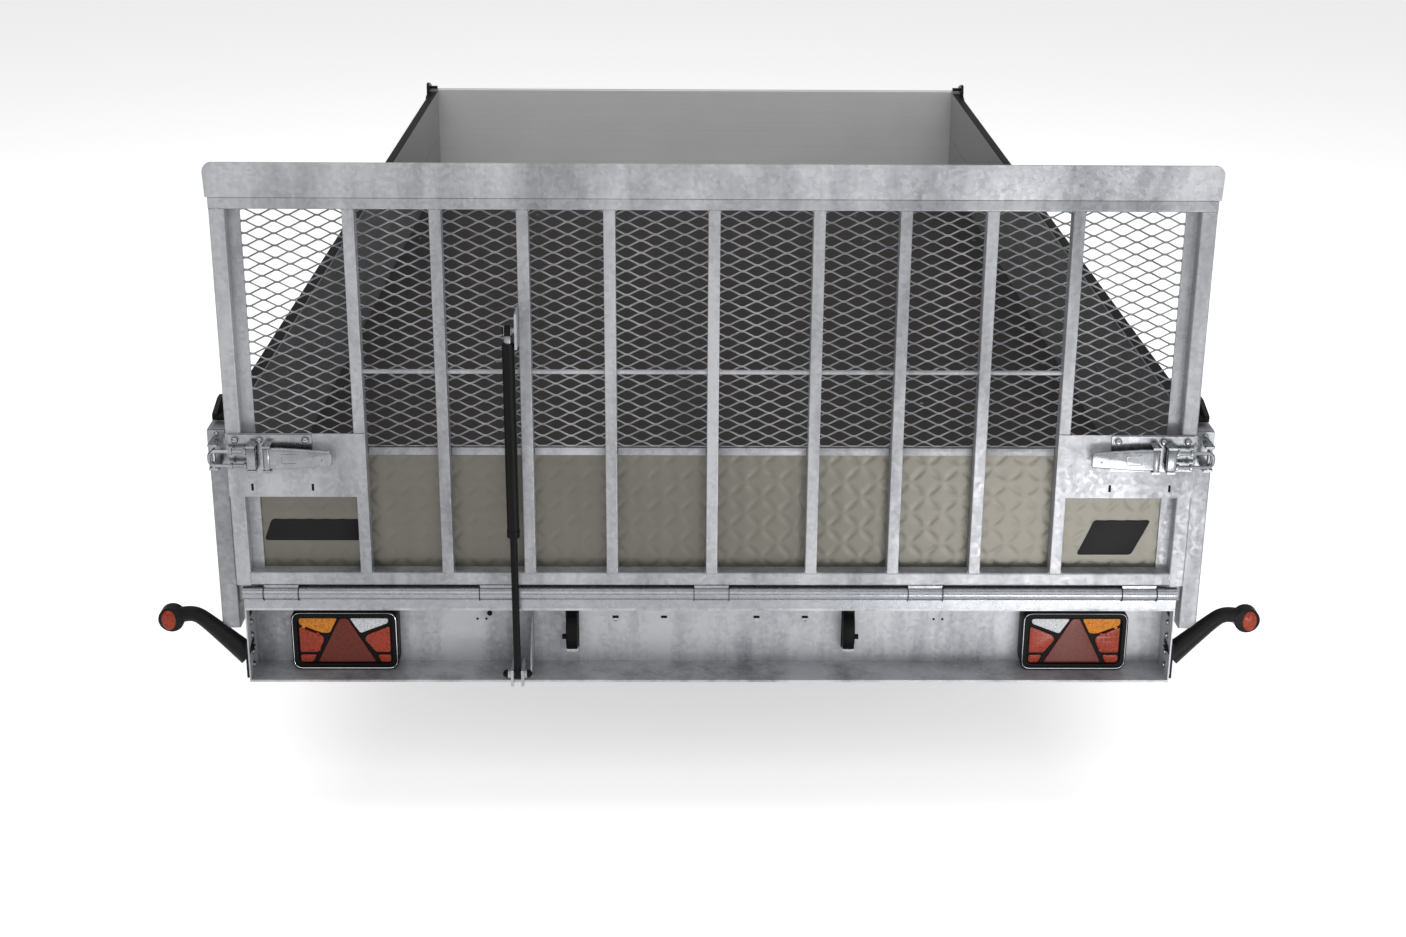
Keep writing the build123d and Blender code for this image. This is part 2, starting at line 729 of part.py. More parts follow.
with BuildPart() as strut_rod:
    bar(along_strut(eye_radius - 3), barrel_end + rod_engaged - eye_radius + 3, rod_thickness, up_strut)
    bar((strut_x - eye_width / 2, strut_foot_point[1], strut_foot_point[2]), eye_width, eye_radius)
    bar(
        (strut_x - eye_width, strut_foot_point[1], strut_foot_point[2]),
        2 * eye_width,
        eye_pin_radius + pin_clearance,
        mode=Mode.SUBTRACT,
    )
keep(strut_rod, "strut_rod")

foot_plate = 6.0
foot_gap = 1.5
with BuildPart() as strut_foot:
    for side in (-1, 1):
        near = strut_x + side * (eye_width / 2 + foot_gap)
        block(
            sorted((near, near + side * foot_plate)),
            (strut_foot_point[1] - 12, channel_rear + 36),
            (channel_low + sheet, strut_foot_point[2] + 12),
        )
    pin_half = eye_width / 2 + foot_gap + foot_plate
    bar((strut_x - pin_half - 1, strut_foot_point[1], strut_foot_point[2]), 2 * pin_half + 2, eye_pin_radius)
    for side in (-1, 1):
        head = (strut_x + side * pin_half, strut_foot_point[1], strut_foot_point[2])
        bar(head, 7, 9, (side, 0, 0))
    block(
        (strut_x - pin_half, strut_x + pin_half),
        (channel_rear + 20, channel_rear + 36),
        (channel_low + sheet, channel_low + 2 * sheet),
    )
keep(strut_foot, "strut_foot")

# --- Lamps ---------------------------------------------------------------------------------------
lamp_z = hinge_z - lamp_top_drop - lamp_height / 2 - 2
lamp_front = channel_front - sheet - lamp_depth
plate_lamp_z = hinge_z - plate_lamp_drop

with BuildPart() as lamp_housings:
    for side in (-1, 1):
        with BuildSketch(at_y(channel_front - sheet)):
            with Locations((side * lamp_place, lamp_z)):
                RectangleRounded(lamp_width, lamp_height, 16)
        extrude(amount=lamp_depth)
        with BuildSketch(at_y(lamp_front + lens_thickness)):
            with Locations((side * lamp_place, lamp_z)):
                RectangleRounded(lamp_width - 2 * lens_margin, lamp_height - 2 * lens_margin, 10)
        extrude(amount=lens_thickness + 1, mode=Mode.SUBTRACT)
        wide, deep, tall = plate_lamp_size
        lamp_y = (channel_front - sheet - deep, channel_front - sheet)
        block(
            (side * plate_lamp_place - wide / 2, side * plate_lamp_place + wide / 2),
            lamp_y,
            (plate_lamp_z - tall / 2, plate_lamp_z + tall / 2),
        )
        bar((side * (plate_lamp_place + wide / 2 - 1), lamp_y[0] + 16, plate_lamp_z - 7), 8, 5, (side, 0, 0))
keep(lamp_housings, "lamp_housings")

marker_y = hinge_y + 24.0
marker_z = hinge_z - marker_drop
marker_root = (channel_half_width + 6, hinge_z - marker_root_drop)

with BuildPart() as lamp_lenses:
    for side in (-1, 1):
        with BuildSketch(at_y(lamp_front + lens_thickness)):
            with Locations((side * lamp_place, lamp_z)):
                RectangleRounded(lamp_width - 2 * lens_margin - 1, lamp_height - 2 * lens_margin - 1, 9.5)
        extrude(amount=lens_thickness - 1)
        bar((side * marker_place, marker_y - marker_depth / 2, marker_z), 5, marker_radius - 5, (0, -1, 0))
        bar((side * marker_place, marker_y + marker_depth / 2, marker_z), 5, marker_radius - 5, (0, 1, 0))
keep(lamp_lenses, "lamp_lenses")

with BuildPart() as marker_arms:
    for side in (-1, 1):
        lamp_back = (side * marker_place, marker_y - marker_depth / 2, marker_z)
        bar(lamp_back, marker_depth, marker_radius, (0, 1, 0))
        block(
            span(side, channel_half_width, channel_half_width + 6),
            (marker_y - 26, marker_y + 26),
            (marker_root[1] - 42, marker_root[1] + 42),
        )
        with BuildLine() as arm_line:
            FilletPolyline(
                (side * (marker_root[0] - 2), marker_y, marker_root[1]),
                (side * (marker_root[0] + 24), marker_y, marker_root[1]),
                (side * (marker_place - 50), marker_y, marker_z + 4),
                (side * (marker_place - 12), marker_y, marker_z + 4),
                radius=30,
            )
        with BuildSketch(Plane(origin=arm_line.line @ 0, x_dir=(0, 1, 0), z_dir=(side, 0, 0))):
            Circle(marker_arm_radius)
        sweep(path=arm_line.line)
keep(marker_arms, "marker_arms")

# --- Running gear --------------------------------------------------------------------------------
axle_middle = (bed_rear + bed_front) / 2 - axle_group_back
wheel_z = tyre_radius
pivot_z = wheel_z + arm_drop
arm_back = (arm_length**2 - arm_drop**2) ** 0.5
axles = (("front", axle_middle + axle_spacing / 2), ("rear", axle_middle - axle_spacing / 2))

with BuildPart() as axle_tubes:
    for _, wheel_y in axles:
        pivot_y = wheel_y + arm_back
        with BuildSketch(at_x(-torsion_half)):
            with Locations((pivot_y, pivot_z)):
                RectangleRounded(torsion_tube, torsion_tube, 2 * tube_radius)
                Circle(torsion_shaft_radius + shaft_clearance, mode=Mode.SUBTRACT)
        extrude(amount=2 * torsion_half)
        hollow = torsion_tube - 2 * torsion_wall
        block(
            (torsion_bush - torsion_half, torsion_half - torsion_bush),
            (pivot_y - hollow / 2, pivot_y + hollow / 2),
            (pivot_z - hollow / 2, pivot_z + hollow / 2),
            Mode.SUBTRACT,
        )
        for side in (-1, 1):
            block(
                (side * rail_centre - 45, side * rail_centre + 45),
                (pivot_y - 60, pivot_y + 60),
                (rail_low - 8, rail_low),
            )
            for offset in (-35, 35):
                block(
                    (side * rail_centre - 40, side * rail_centre + 40),
                    (pivot_y + offset - 4, pivot_y + offset + 4),
                    (pivot_z + torsion_tube / 2 - 1, rail_low - 7),
                )
keep(axle_tubes, "axle_tubes")

rim_bead = bead_radius - 0.3
for name, side in sides:
    for axle_name, wheel_y in axles:
        pivot_y = wheel_y + arm_back
        tag = f"{axle_name}_{name}"
        with BuildPart() as arm:
            arm_x = span(side, arm_inner, arm_inner + arm_thickness)
            with BuildSketch(at_x(arm_x[0])):
                with Locations(((pivot_y + wheel_y) / 2, (pivot_z + wheel_z) / 2)):
                    SlotCenterToCenter(arm_length, arm_height, rotation=degrees(atan2(arm_drop, arm_back)))
            extrude(amount=arm_thickness)
            arm_root = side * (arm_inner + 1)
            bar((arm_root, pivot_y, pivot_z), torsion_bush - 10, torsion_shaft_radius, (-side, 0, 0))
            bar((arm_root, wheel_y, wheel_z), stub_end - arm_inner - 1, stub_radius, (side, 0, 0))
        keep(arm, f"arm_{tag}")

        wheel_centre = (side * wheel_place, wheel_y, wheel_z)
        wheel_plane = Plane(origin=wheel_centre, x_dir=(side, 0, 0), z_dir=(0, -side, 0))
        wheel_axis = Axis((0, wheel_y, wheel_z), (1, 0, 0))
        with BuildPart() as tyre:
            half = tyre_width / 2
            bead = bead_width / 2
            with BuildSketch(wheel_plane):
                with BuildLine():
                    Polyline(
                        (-bead, bead_radius),
                        (-bead, bead_radius + bead_height),
                        (-half, bead_radius + 52),
                        (-half + 3, tyre_radius - 24),
                        (-half + 20, tyre_radius),
                        (half - 20, tyre_radius),
                        (half - 3, tyre_radius - 24),
                        (half, bead_radius + 52),
                        (bead, bead_radius + bead_height),
                        (bead, bead_radius),
                        (bead - 12, bead_radius),
                        (bead - 12, bead_radius + bead_height),
                        (half - tyre_wall, bead_radius + 56),
                        (half - tyre_wall - 4, tyre_radius - 22),
                        (half - 28, tyre_radius - 13),
                        (-half + 28, tyre_radius - 13),
                        (-half + tyre_wall + 4, tyre_radius - 22),
                        (-half + tyre_wall, bead_radius + 56),
                        (-bead + 12, bead_radius + bead_height),
                        (-bead + 12, bead_radius),
                        close=True,
                    )
                make_face()
            revolve(axis=wheel_axis)
        keep(tyre, f"tyre_{tag}")

        with BuildPart() as rim:
            with BuildSketch(wheel_plane):
                with BuildLine():
                    Polyline(
                        (-bead - 0.5, rim_bead),
                        (-bead - 0.5, rim_bead + 14),
                        (-bead - 4, rim_bead + 14),
                        (-bead - 4, rim_bead - 4),
                        (14, rim_bead - 4),
                        (14, 62),
                        (4, 52),
                        (-20, 52),
                        (-20, 82),
                        (-64, 82),
                        (-64, stub_radius + shaft_clearance),
                        (26, stub_radius + shaft_clearance),
                        (26, 46),
                        (20, 62),
                        (20, rim_bead - 4),
                        (bead + 4, rim_bead - 4),
                        (bead + 4, rim_bead + 14),
                        (bead + 0.5, rim_bead + 14),
                        (bead + 0.5, rim_bead),
                        close=True,
                    )
                make_face()
            revolve(axis=wheel_axis)
            nut_face = Plane(origin=(side * (wheel_place + 19), wheel_y, wheel_z), z_dir=(side, 0, 0))
            with Locations(nut_face.location):
                with PolarLocations(wheel_bolt_circle, wheel_bolts):
                    Cylinder(9, 16, align=(Align.CENTER, Align.CENTER, Align.MIN))
        keep(rim, f"rim_{tag}")

# --- Drawbar, overrun and coupling ----------------------------------------------------------------
arm_start_y = bed_front - drawbar_tuck
arm_end_y = nose_y - drawbar_tip_gap
arm_z = chassis_top - drawbar_depth / 2
lean = atan2(drawbar_spread - drawbar_tip, arm_end_y - arm_start_y)

with BuildPart() as drawbar_arms:
    for side in (-1, 1):
        direction = Vector(-side * sin(lean), cos(lean), 0)
        start = Vector(side * drawbar_spread, arm_start_y, arm_z) - 200 * direction
        reach = (arm_end_y - arm_start_y) / cos(lean) + 400
        with BuildSketch(Plane(origin=start, x_dir=direction.cross(Vector(0, 0, 1)), z_dir=direction)):
            RectangleRounded(drawbar_width, drawbar_depth, tube_radius)
            Rectangle(drawbar_width - 2 * tube_wall, drawbar_depth - 2 * tube_wall, mode=Mode.SUBTRACT)
        extrude(amount=reach)
    inner_rail = rail_centre - rail_width / 2
    along = (arm_start_y - 600, nose_y)
    for side in (-1, 1):
        block(span(side, inner_rail, inner_rail + 400), along, (0, 1000), Mode.SUBTRACT)
        block(span(side, 0, housing_half), along, (0, 1000), Mode.SUBTRACT)
    for edge in (arm_start_y, arm_end_y):
        far = edge - 900 if edge == arm_start_y else edge + 900
        block((-1200, 1200), sorted((edge, far)), (0, 1000), mode=Mode.SUBTRACT)
keep(drawbar_arms, "drawbar_arms")

housing_rear_y = arm_end_y - housing_back
housing_front_y = arm_end_y + housing_ahead
with BuildPart() as overrun_housing:
    block(
        (-housing_half, housing_half),
        (housing_rear_y, housing_front_y),
        (coupling_height - housing_height / 2, coupling_height + housing_height / 2),
    )
    fillet(overrun_housing.edges().filter_by(Axis.Y), 12)
    bar((0, housing_front_y - 1, coupling_height), nose_tube_length + 1, nose_tube_radius, (0, 1, 0))
    bar((housing_half - 2, housing_front_y - 30, coupling_height + 20), 3.5, 20)
    bar((housing_half + 1, housing_front_y - 30, coupling_height + 20), handbrake_thickness + 4, 10)
    housing_length = housing_back + housing_ahead + nose_tube_length
    bore = (0, housing_rear_y - 1, coupling_height)
    bar(bore, housing_length + 2, shaft_radius + shaft_clearance, (0, 1, 0), Mode.SUBTRACT)
keep(overrun_housing, "overrun_housing")

head_rear_y = nose_y - head_length
with BuildPart() as overrun_shaft:
    shaft_rear_y = housing_rear_y + overrun_travel + 20
    bar((0, shaft_rear_y, coupling_height), head_rear_y + 40 - shaft_rear_y, shaft_radius, (0, 1, 0))
keep(overrun_shaft, "overrun_shaft")

with BuildPart() as coupling_head:
    block(
        (-head_half, head_half),
        (head_rear_y, nose_y),
        (coupling_height - head_low, coupling_height + head_high),
    )
    fillet(coupling_head.edges().filter_by(Axis.Z).group_by(Axis.Y)[-1], head_half - 2)
    fillet(coupling_head.faces().sort_by(Axis.Z)[-1].edges(), 10)
    shaft_bore = (0, head_rear_y - 1, coupling_height)
    bar(shaft_bore, 41.05, shaft_radius + shaft_clearance, (0, 1, 0), Mode.SUBTRACT)
    socket = (0, nose_y - ball_back, coupling_height - head_low)
    bar(socket, socket_depth, ball_radius + ball_clearance, (0, 0, 1), Mode.SUBTRACT)
    for side in (-1, 1):
        block(
            sorted((side * 20, side * 26)),
            (nose_y - coupling_handle_pivot - 14, nose_y - coupling_handle_pivot + 14),
            (coupling_height + head_high - 2, coupling_height + head_high + 36),
        )
    bar((-26, nose_y - coupling_handle_pivot, coupling_height + head_high + 24), 52, 5)
keep(coupling_head, "coupling_head")

with BuildPart() as coupling_handle:
    handle_y = nose_y - coupling_handle_pivot
    handle_z = coupling_height + head_high + 24
    bar((-19, handle_y, handle_z), 38, 12)
    block((-17, 17), (handle_y - coupling_handle_length, handle_y), (handle_z, handle_z + 12))
    block(
        (-17, 17),
        (handle_y - coupling_handle_length, handle_y - coupling_handle_length + 70),
        (handle_z, handle_z + 20),
    )
    fillet(coupling_handle.edges().filter_by(Axis.Z).group_by(Axis.Y)[0], 12)
    bar((-20, handle_y, handle_z), 40, 5 + pin_clearance, mode=Mode.SUBTRACT)
keep(coupling_handle, "coupling_handle")

gaiter_inner = nose_tube_radius + gaiter_gap
gaiter_length = head_rear_y - housing_front_y - nose_tube_length + 5
gaiter_folds = 9
with BuildPart() as gaiter:
    fold = gaiter_length / gaiter_folds
    outer = gaiter_inner + gaiter_wall
    points = [(gaiter_inner, 0)]
    for n in range(gaiter_folds):
        points += [(outer - 3, n * fold), (outer + 2, (n + 0.5) * fold)]
    points += [(outer - 3, gaiter_length), (gaiter_inner, gaiter_length)]
    with BuildSketch(Plane(origin=(0, head_rear_y, coupling_height), x_dir=(1, 0, 0), z_dir=(0, 0, 1))):
        with BuildLine():
            Polyline(*[(radius, -back) for radius, back in points], close=True)
        make_face()
        with BuildLine():
            Polyline(
                (shaft_radius + 1, 0),
                (gaiter_inner + 2, 0),
                (gaiter_inner + 2, -5),
                (shaft_radius + 1, -5),
                close=True,
            )
        make_face()
    revolve(axis=Axis((0, 0, coupling_height), (0, 1, 0)))
keep(gaiter, "gaiter")

brake_pivot = (housing_half + 1.5, housing_front_y - 30, coupling_height + 20)
with BuildPart() as handbrake_lever:
    with BuildSketch(at_x(brake_pivot[0] + 0.3)):
        with BuildLine():
            Polyline(
                (brake_pivot[1] - 14, brake_pivot[2] - 12),
                (brake_pivot[1] - 16, brake_pivot[2] + 22),
                (brake_pivot[1] + 60, brake_pivot[2] + 62),
                (brake_pivot[1] + handbrake_length, brake_pivot[2] + 84),
                (brake_pivot[1] + handbrake_length, brake_pivot[2] + 60),
                (brake_pivot[1] + 70, brake_pivot[2] + 34),
                (brake_pivot[1] + 18, brake_pivot[2] - 12),
                close=True,
            )
        make_face()
        fillet(vertices(), 9)
    extrude(amount=handbrake_thickness)
    grip_x = brake_pivot[0] + 0.3 + handbrake_thickness / 2
    bar((grip_x, brake_pivot[1] + handbrake_length - 4, brake_pivot[2] + 72), 110, 13, (0, 1, 0.06))
    bore = (brake_pivot[0] - 1, *brake_pivot[1:])
    bar(bore, handbrake_thickness + 6, 10 + pin_clearance, mode=Mode.SUBTRACT)
keep(handbrake_lever, "handbrake_lever")

# --- Jockey wheel -----------------------------------------------------------------------------------
jockey_y = nose_y - jockey_behind_nose
share = (jockey_y - arm_start_y) / (arm_end_y - arm_start_y)
arm_here = drawbar_spread + share * (drawbar_tip - drawbar_spread)
jockey_x = -(arm_here + drawbar_width / 2 / cos(lean) + jockey_stand + jockey_tube_radius)

with BuildPart() as jockey_clamp:
    ring = jockey_tube_radius + clamp_wall
    bar((jockey_x, jockey_y, clamp_low), clamp_high - clamp_low, ring, (0, 0, 1))
    block((jockey_x, -arm_here), (jockey_y - 22, jockey_y + 22), (clamp_low, clamp_high))
    with Locations(Plane(origin=(-arm_here, jockey_y, arm_z), x_dir=(cos(lean), -sin(lean), 0)).location):
        Box(drawbar_width, 400, drawbar_depth, mode=Mode.SUBTRACT)
    inside = -arm_here + drawbar_width / 2 - 8
    block((inside - 60, 0), (jockey_y - 60, jockey_y + 60), (clamp_low, clamp_high), mode=Mode.SUBTRACT)
    bar(
        (jockey_x, jockey_y, clamp_low - 1),
        clamp_high - clamp_low + 2,
        jockey_tube_radius + shaft_clearance,
        (0, 0, 1),
        Mode.SUBTRACT,
    )
    bar((jockey_x - ring + 3, jockey_y, (clamp_low + clamp_high) / 2), 22, 9, (-1, 0, 0))
    clamp_bore = (jockey_x - ring - 22, jockey_y, (clamp_low + clamp_high) / 2)
    bar(clamp_bore, clamp_wall + 24, 6 + pin_clearance, mode=Mode.SUBTRACT)
keep(jockey_clamp, "jockey_clamp")

with BuildPart() as clamp_handle:
    screw_z = (clamp_low + clamp_high) / 2
    screw_x = jockey_x - jockey_tube_radius - 0.3
    bar((screw_x, jockey_y, screw_z), 58, 6, (-1, 0, 0))
    bar((screw_x - 52, jockey_y - 55, screw_z), 110, 5, (0, 1, 0))
keep(clamp_handle, "clamp_handle")

with BuildPart() as jockey_outer_tube:
    bar(
        (jockey_x, jockey_y, jockey_tube_low),
        jockey_tube_high - jockey_tube_low,
        jockey_tube_radius,
        (0, 0, 1),
    )
    bar(
        (jockey_x, jockey_y, jockey_tube_low - 1),
        jockey_tube_high - jockey_tube_low - 7,
        jockey_inner_radius + shaft_clearance,
        (0, 0, 1),
        Mode.SUBTRACT,
    )
    bar((jockey_x, jockey_y, jockey_tube_high - 10), 12, 8 + pin_clearance, (0, 0, 1), Mode.SUBTRACT)
keep(jockey_outer_tube, "jockey_outer_tube")

with BuildPart() as jockey_crank:
    bar((jockey_x, jockey_y, jockey_tube_high - 40), 66, 8, (0, 0, 1))
    bar((jockey_x, jockey_y, jockey_tube_high + 0.5), 14, 15, (0, 0, 1))
    block(
        (jockey_x - 8, jockey_x + 8),
        (jockey_y - 12, jockey_y + crank_reach + 8),
        (jockey_tube_high + 14, jockey_tube_high + 22),
    )
    bar((jockey_x, jockey_y + crank_reach, jockey_tube_high + 16), 92, 7, (0, 0, 1))
    bar((jockey_x, jockey_y + crank_reach, jockey_tube_high + 28), 78, 12, (0, 0, 1))
keep(jockey_crank, "jockey_crank")

jockey_axle_y = jockey_y - jockey_trail
fork_half = jockey_wheel_width / 2 + fork_clearance
with BuildPart() as jockey_fork:
    bar((jockey_x, jockey_y, fork_top - 4), jockey_inner_high - fork_top + 4, jockey_inner_radius, (0, 0, 1))
    bar(
        (jockey_x, jockey_y, fork_top + 8),
        jockey_inner_high - fork_top,
        jockey_inner_radius - tube_wall,
        (0, 0, 1),
        Mode.SUBTRACT,
    )
    block(
        (jockey_x - fork_half - fork_plate, jockey_x + fork_half + fork_plate),
        (jockey_axle_y - 14, jockey_y + 24),
        (fork_top - fork_plate, fork_top),
    )
    for side in (-1, 1):
        plate_x = sorted((jockey_x + side * fork_half, jockey_x + side * (fork_half + fork_plate)))
        with BuildSketch(at_x(plate_x[0])):
            with BuildLine():
                Polyline(
                    (jockey_axle_y - 16, jockey_wheel_radius - 10),
                    (jockey_axle_y - 14, fork_top),
                    (jockey_y + 24, fork_top),
                    (jockey_axle_y + 18, jockey_wheel_radius - 10),
                    close=True,
                )
            make_face()
            fillet(vertices().group_by(Axis.Y)[0], 8)
        extrude(amount=fork_plate)
    bar(
        (jockey_x - fork_half - fork_plate - 4, jockey_axle_y, jockey_wheel_radius),
        2 * (fork_half + fork_plate + 4),
        jockey_axle_radius,
    )
keep(jockey_fork, "jockey_fork")

with BuildPart() as jockey_wheel:
    jockey_centre = (jockey_x, jockey_axle_y, jockey_wheel_radius)
    wheel_plane = Plane(origin=jockey_centre, x_dir=(1, 0, 0), z_dir=(0, -1, 0))
    with BuildSketch(wheel_plane):
        half = jockey_wheel_width / 2
        bore = jockey_axle_radius + shaft_clearance
        with BuildLine():
            Polyline(
                (-half, bore),
                (-half, 20),
                (-8, 26),
                (-8, 62),
                (-half, 68),
                (-half, jockey_wheel_radius - 8),
                (-half + 8, jockey_wheel_radius),
                (half - 8, jockey_wheel_radius),
                (half, jockey_wheel_radius - 8),
                (half, 68),
                (8, 62),
                (8, 26),
                (half, 20),
                (half, bore),
                close=True,
            )
        make_face()
    revolve(axis=Axis((0, jockey_axle_y, jockey_wheel_radius), (1, 0, 0)))
keep(jockey_wheel, "jockey_wheel")
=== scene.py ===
import json
from math import atan2, ceil, cos, hypot, pi, radians, sin, tau

import bpy
from bpy.props import FloatProperty, FloatVectorProperty, IntProperty, PointerProperty
from bpy.types import Operator, Panel, PropertyGroup
from mathutils import Matrix, Vector


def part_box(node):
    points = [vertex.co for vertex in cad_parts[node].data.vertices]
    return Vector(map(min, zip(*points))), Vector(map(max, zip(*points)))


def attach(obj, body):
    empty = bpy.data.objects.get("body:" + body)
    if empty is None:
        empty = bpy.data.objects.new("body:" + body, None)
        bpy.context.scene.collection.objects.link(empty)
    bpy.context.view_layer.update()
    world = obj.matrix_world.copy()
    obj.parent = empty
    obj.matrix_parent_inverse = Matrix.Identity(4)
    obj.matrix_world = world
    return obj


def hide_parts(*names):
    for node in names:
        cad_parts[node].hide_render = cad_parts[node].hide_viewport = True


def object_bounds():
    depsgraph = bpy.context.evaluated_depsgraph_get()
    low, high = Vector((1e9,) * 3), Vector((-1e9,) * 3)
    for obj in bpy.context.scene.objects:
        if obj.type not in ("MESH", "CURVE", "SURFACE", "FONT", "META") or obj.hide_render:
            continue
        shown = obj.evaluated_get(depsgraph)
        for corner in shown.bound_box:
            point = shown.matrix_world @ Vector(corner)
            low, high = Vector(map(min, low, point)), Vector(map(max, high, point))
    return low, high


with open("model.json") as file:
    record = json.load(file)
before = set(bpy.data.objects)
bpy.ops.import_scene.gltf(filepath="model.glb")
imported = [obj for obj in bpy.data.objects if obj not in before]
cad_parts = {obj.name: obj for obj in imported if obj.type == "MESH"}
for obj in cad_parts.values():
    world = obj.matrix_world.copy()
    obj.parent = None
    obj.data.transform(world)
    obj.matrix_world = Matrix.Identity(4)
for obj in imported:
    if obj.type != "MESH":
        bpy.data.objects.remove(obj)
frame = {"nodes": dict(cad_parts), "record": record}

bl_info = {
    "name": "Flatbed trailer with a mesh ramp",
    "version": (1, 0, 0),
    "blender": (4, 5, 0),
    "location": "3D View > Sidebar > Trailer",
    "description": "Finishes and fine parts for a drop-side flatbed trailer with a mesh loading ramp",
    "category": "Object",
}

CAD_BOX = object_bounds()
SIDES = (("left", -1), ("right", 1))
RIB_PLACES = (0.0, 0.218, 0.398, 0.578, 0.757)
RIB_WIDTH = 0.025
PLATE_DEPTH = 0.003
ROD_HEIGHT = 0.508  # of the ramp's round rod, above the hinge
KNUCKLE_PITCH = 0.472
KNUCKLE_HALF = 0.038
CHANNEL_WALL = 0.005
LAMP_WIDTH, LAMP_HEIGHT = 0.238, 0.141
PLATE_LAMP_SIDE, PLATE_LAMP_DROP = 0.313, 0.130
STRUT_TOP_BACK, STRUT_TOP_HEIGHT = 0.047, 0.615
BARREL_START, BARREL_LENGTH = 0.026, 0.440  # from the strut's upper eye
BOARD_THICKNESS = 0.030
STRIP_DROP = 0.022  # the edge strips and the mesh above them start this far below the CAD plate's top


def node_box(node):
    """The lowest and highest corners of a CAD node."""
    low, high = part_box(node)
    return Vector(low), Vector(high)


def joint_place(name):
    """Where a joint's axis stands."""
    for joint in frame["record"]["behaviour"]["joints"]:
        if joint["name"] == name:
            return Vector(joint["pos_m"])
    raise ValueError(f"no joint called {name}")


HINGE = joint_place("ramp_hinge")
RIB_CENTRES = sorted({side * place for side in (-1, 1) for place in RIB_PLACES})


# --- Modelling helpers -----------------------------------------------------------------------------


def clear_selection():
    """Leaves nothing selected."""
    bpy.ops.object.select_all(action="DESELECT")


def select_only(*pieces):
    """Selects these pieces, with the first one active."""
    clear_selection()
    for piece in pieces:
        piece.select_set(True)
    bpy.context.view_layer.objects.active = pieces[0]


def apply_place():
    """Applies the selected pieces' place, turn and scale to their meshes."""
    bpy.ops.object.transform_apply(location=True, rotation=True, scale=True)


def tidy_mesh(piece, merge=0.00001):
    """Merges doubled points and points every face outwards."""
    select_only(piece)
    bpy.ops.object.mode_set(mode="EDIT")
    bpy.ops.mesh.select_all(action="SELECT")
    bpy.ops.mesh.remove_doubles(threshold=merge)
    bpy.ops.mesh.normals_make_consistent(inside=False)
    bpy.ops.object.mode_set(mode="OBJECT")
    return piece


def bevel_edges(piece, width, segments=2):
    """Rounds every edge of a piece."""
    select_only(piece)
    bpy.ops.object.mode_set(mode="EDIT")
    bpy.ops.mesh.select_all(action="SELECT")
    bpy.ops.mesh.bevel(offset=width, segments=segments, affect="EDGES", clamp_overlap=True)
    bpy.ops.object.mode_set(mode="OBJECT")
    return piece


def add_block(corner, opposite, bevel=0.0, segments=2):
    """A block between two corners, with rounded edges."""
    clear_selection()
    corner, opposite = Vector(corner), Vector(opposite)
    size = [abs(value) for value in opposite - corner]
    bpy.ops.mesh.primitive_cube_add(size=1, location=(corner + opposite) / 2, scale=size)
    piece = bpy.context.object
    apply_place()
    if bevel:
        bevel_edges(piece, bevel, segments)
    return piece


def add_rod(start, end, radius, sides=24, end_radius=None, bevel=0.0):
    """A round rod or a cone from one point to another."""
    clear_selection()
    start, end = Vector(start), Vector(end)
    run = end - start
    bpy.ops.mesh.primitive_cone_add(
        vertices=sides,
        radius1=radius,
        radius2=radius if end_radius is None else end_radius,
        depth=run.length,
        location=(start + end) / 2,
        rotation=run.to_track_quat("Z", "Y").to_euler(),
    )
    piece = bpy.context.object
    apply_place()
    if bevel:
        bpy.ops.object.mode_set(mode="EDIT")
        bpy.ops.mesh.select_all(action="DESELECT")
        bpy.ops.object.mode_set(mode="OBJECT")
        along = run.normalized()
        for edge in piece.data.edges:
            first, second = (piece.data.vertices[n].co for n in edge.vertices)
            edge.select = abs((second - first).dot(along)) < run.length * 0.2
        bpy.ops.object.mode_set(mode="EDIT")
        bpy.ops.mesh.select_mode(type="EDGE")
        bpy.ops.mesh.bevel(offset=bevel, segments=2, affect="EDGES")
        bpy.ops.mesh.select_mode(type="VERT")
        bpy.ops.object.mode_set(mode="OBJECT")
    return piece


def add_dome(centre, radius, stretch=(1, 1, 1), segments=16, rings=8):
    """A ball or a flattened ball, such as a rivet's head."""
    clear_selection()
    bpy.ops.mesh.primitive_uv_sphere_add(
        segments=segments, ring_count=rings, radius=radius, location=centre, scale=stretch
    )
    piece = bpy.context.object
    apply_place()
    return piece


def round_corners(points, radius, steps=4):
    """An outline with each corner turned into an arc."""
    rounded = []
    count = len(points)
    for n in range(count):
        before, corner, after = (Vector(points[(n + k) % count]) for k in (-1, 0, 1))
        to_before, to_after = before - corner, after - corner
        reach = min(radius, to_before.length * 0.45, to_after.length * 0.45)
        start = corner + to_before.normalized() * reach
        end = corner + to_after.normalized() * reach
        for step in range(steps + 1):
            share = step / steps
            rounded.append(start.lerp(corner, share).lerp(corner.lerp(end, share), share))
    return rounded


def curve_piece(points, cyclic, radii=None, kind="POLY"):
    """A curve object through these points."""
    curve = bpy.data.curves.new("line", "CURVE")
    spline = curve.splines.new(kind)
    spline.points.add(len(points) - 1)
    for n, point in enumerate(points):
        flat = tuple(point) if len(point) == 3 else (*point, 0.0)
        spline.points[n].co = (*flat, 1.0)
        spline.points[n].radius = radii[n] if radii else 1.0
    spline.use_cyclic_u = cyclic
    if kind == "NURBS":
        spline.order_u = 3
        spline.use_endpoint_u = True
    piece = bpy.data.objects.new("line", curve)
    bpy.context.collection.objects.link(piece)
    return piece


def facing_rear(origin):
    """A flat drawing's place whose X is across the trailer, Y is up and Z points rearwards."""
    turn = Matrix(((1, 0, 0), (0, 0, -1), (0, 1, 0))).to_4x4()
    return Matrix.Translation(origin) @ turn


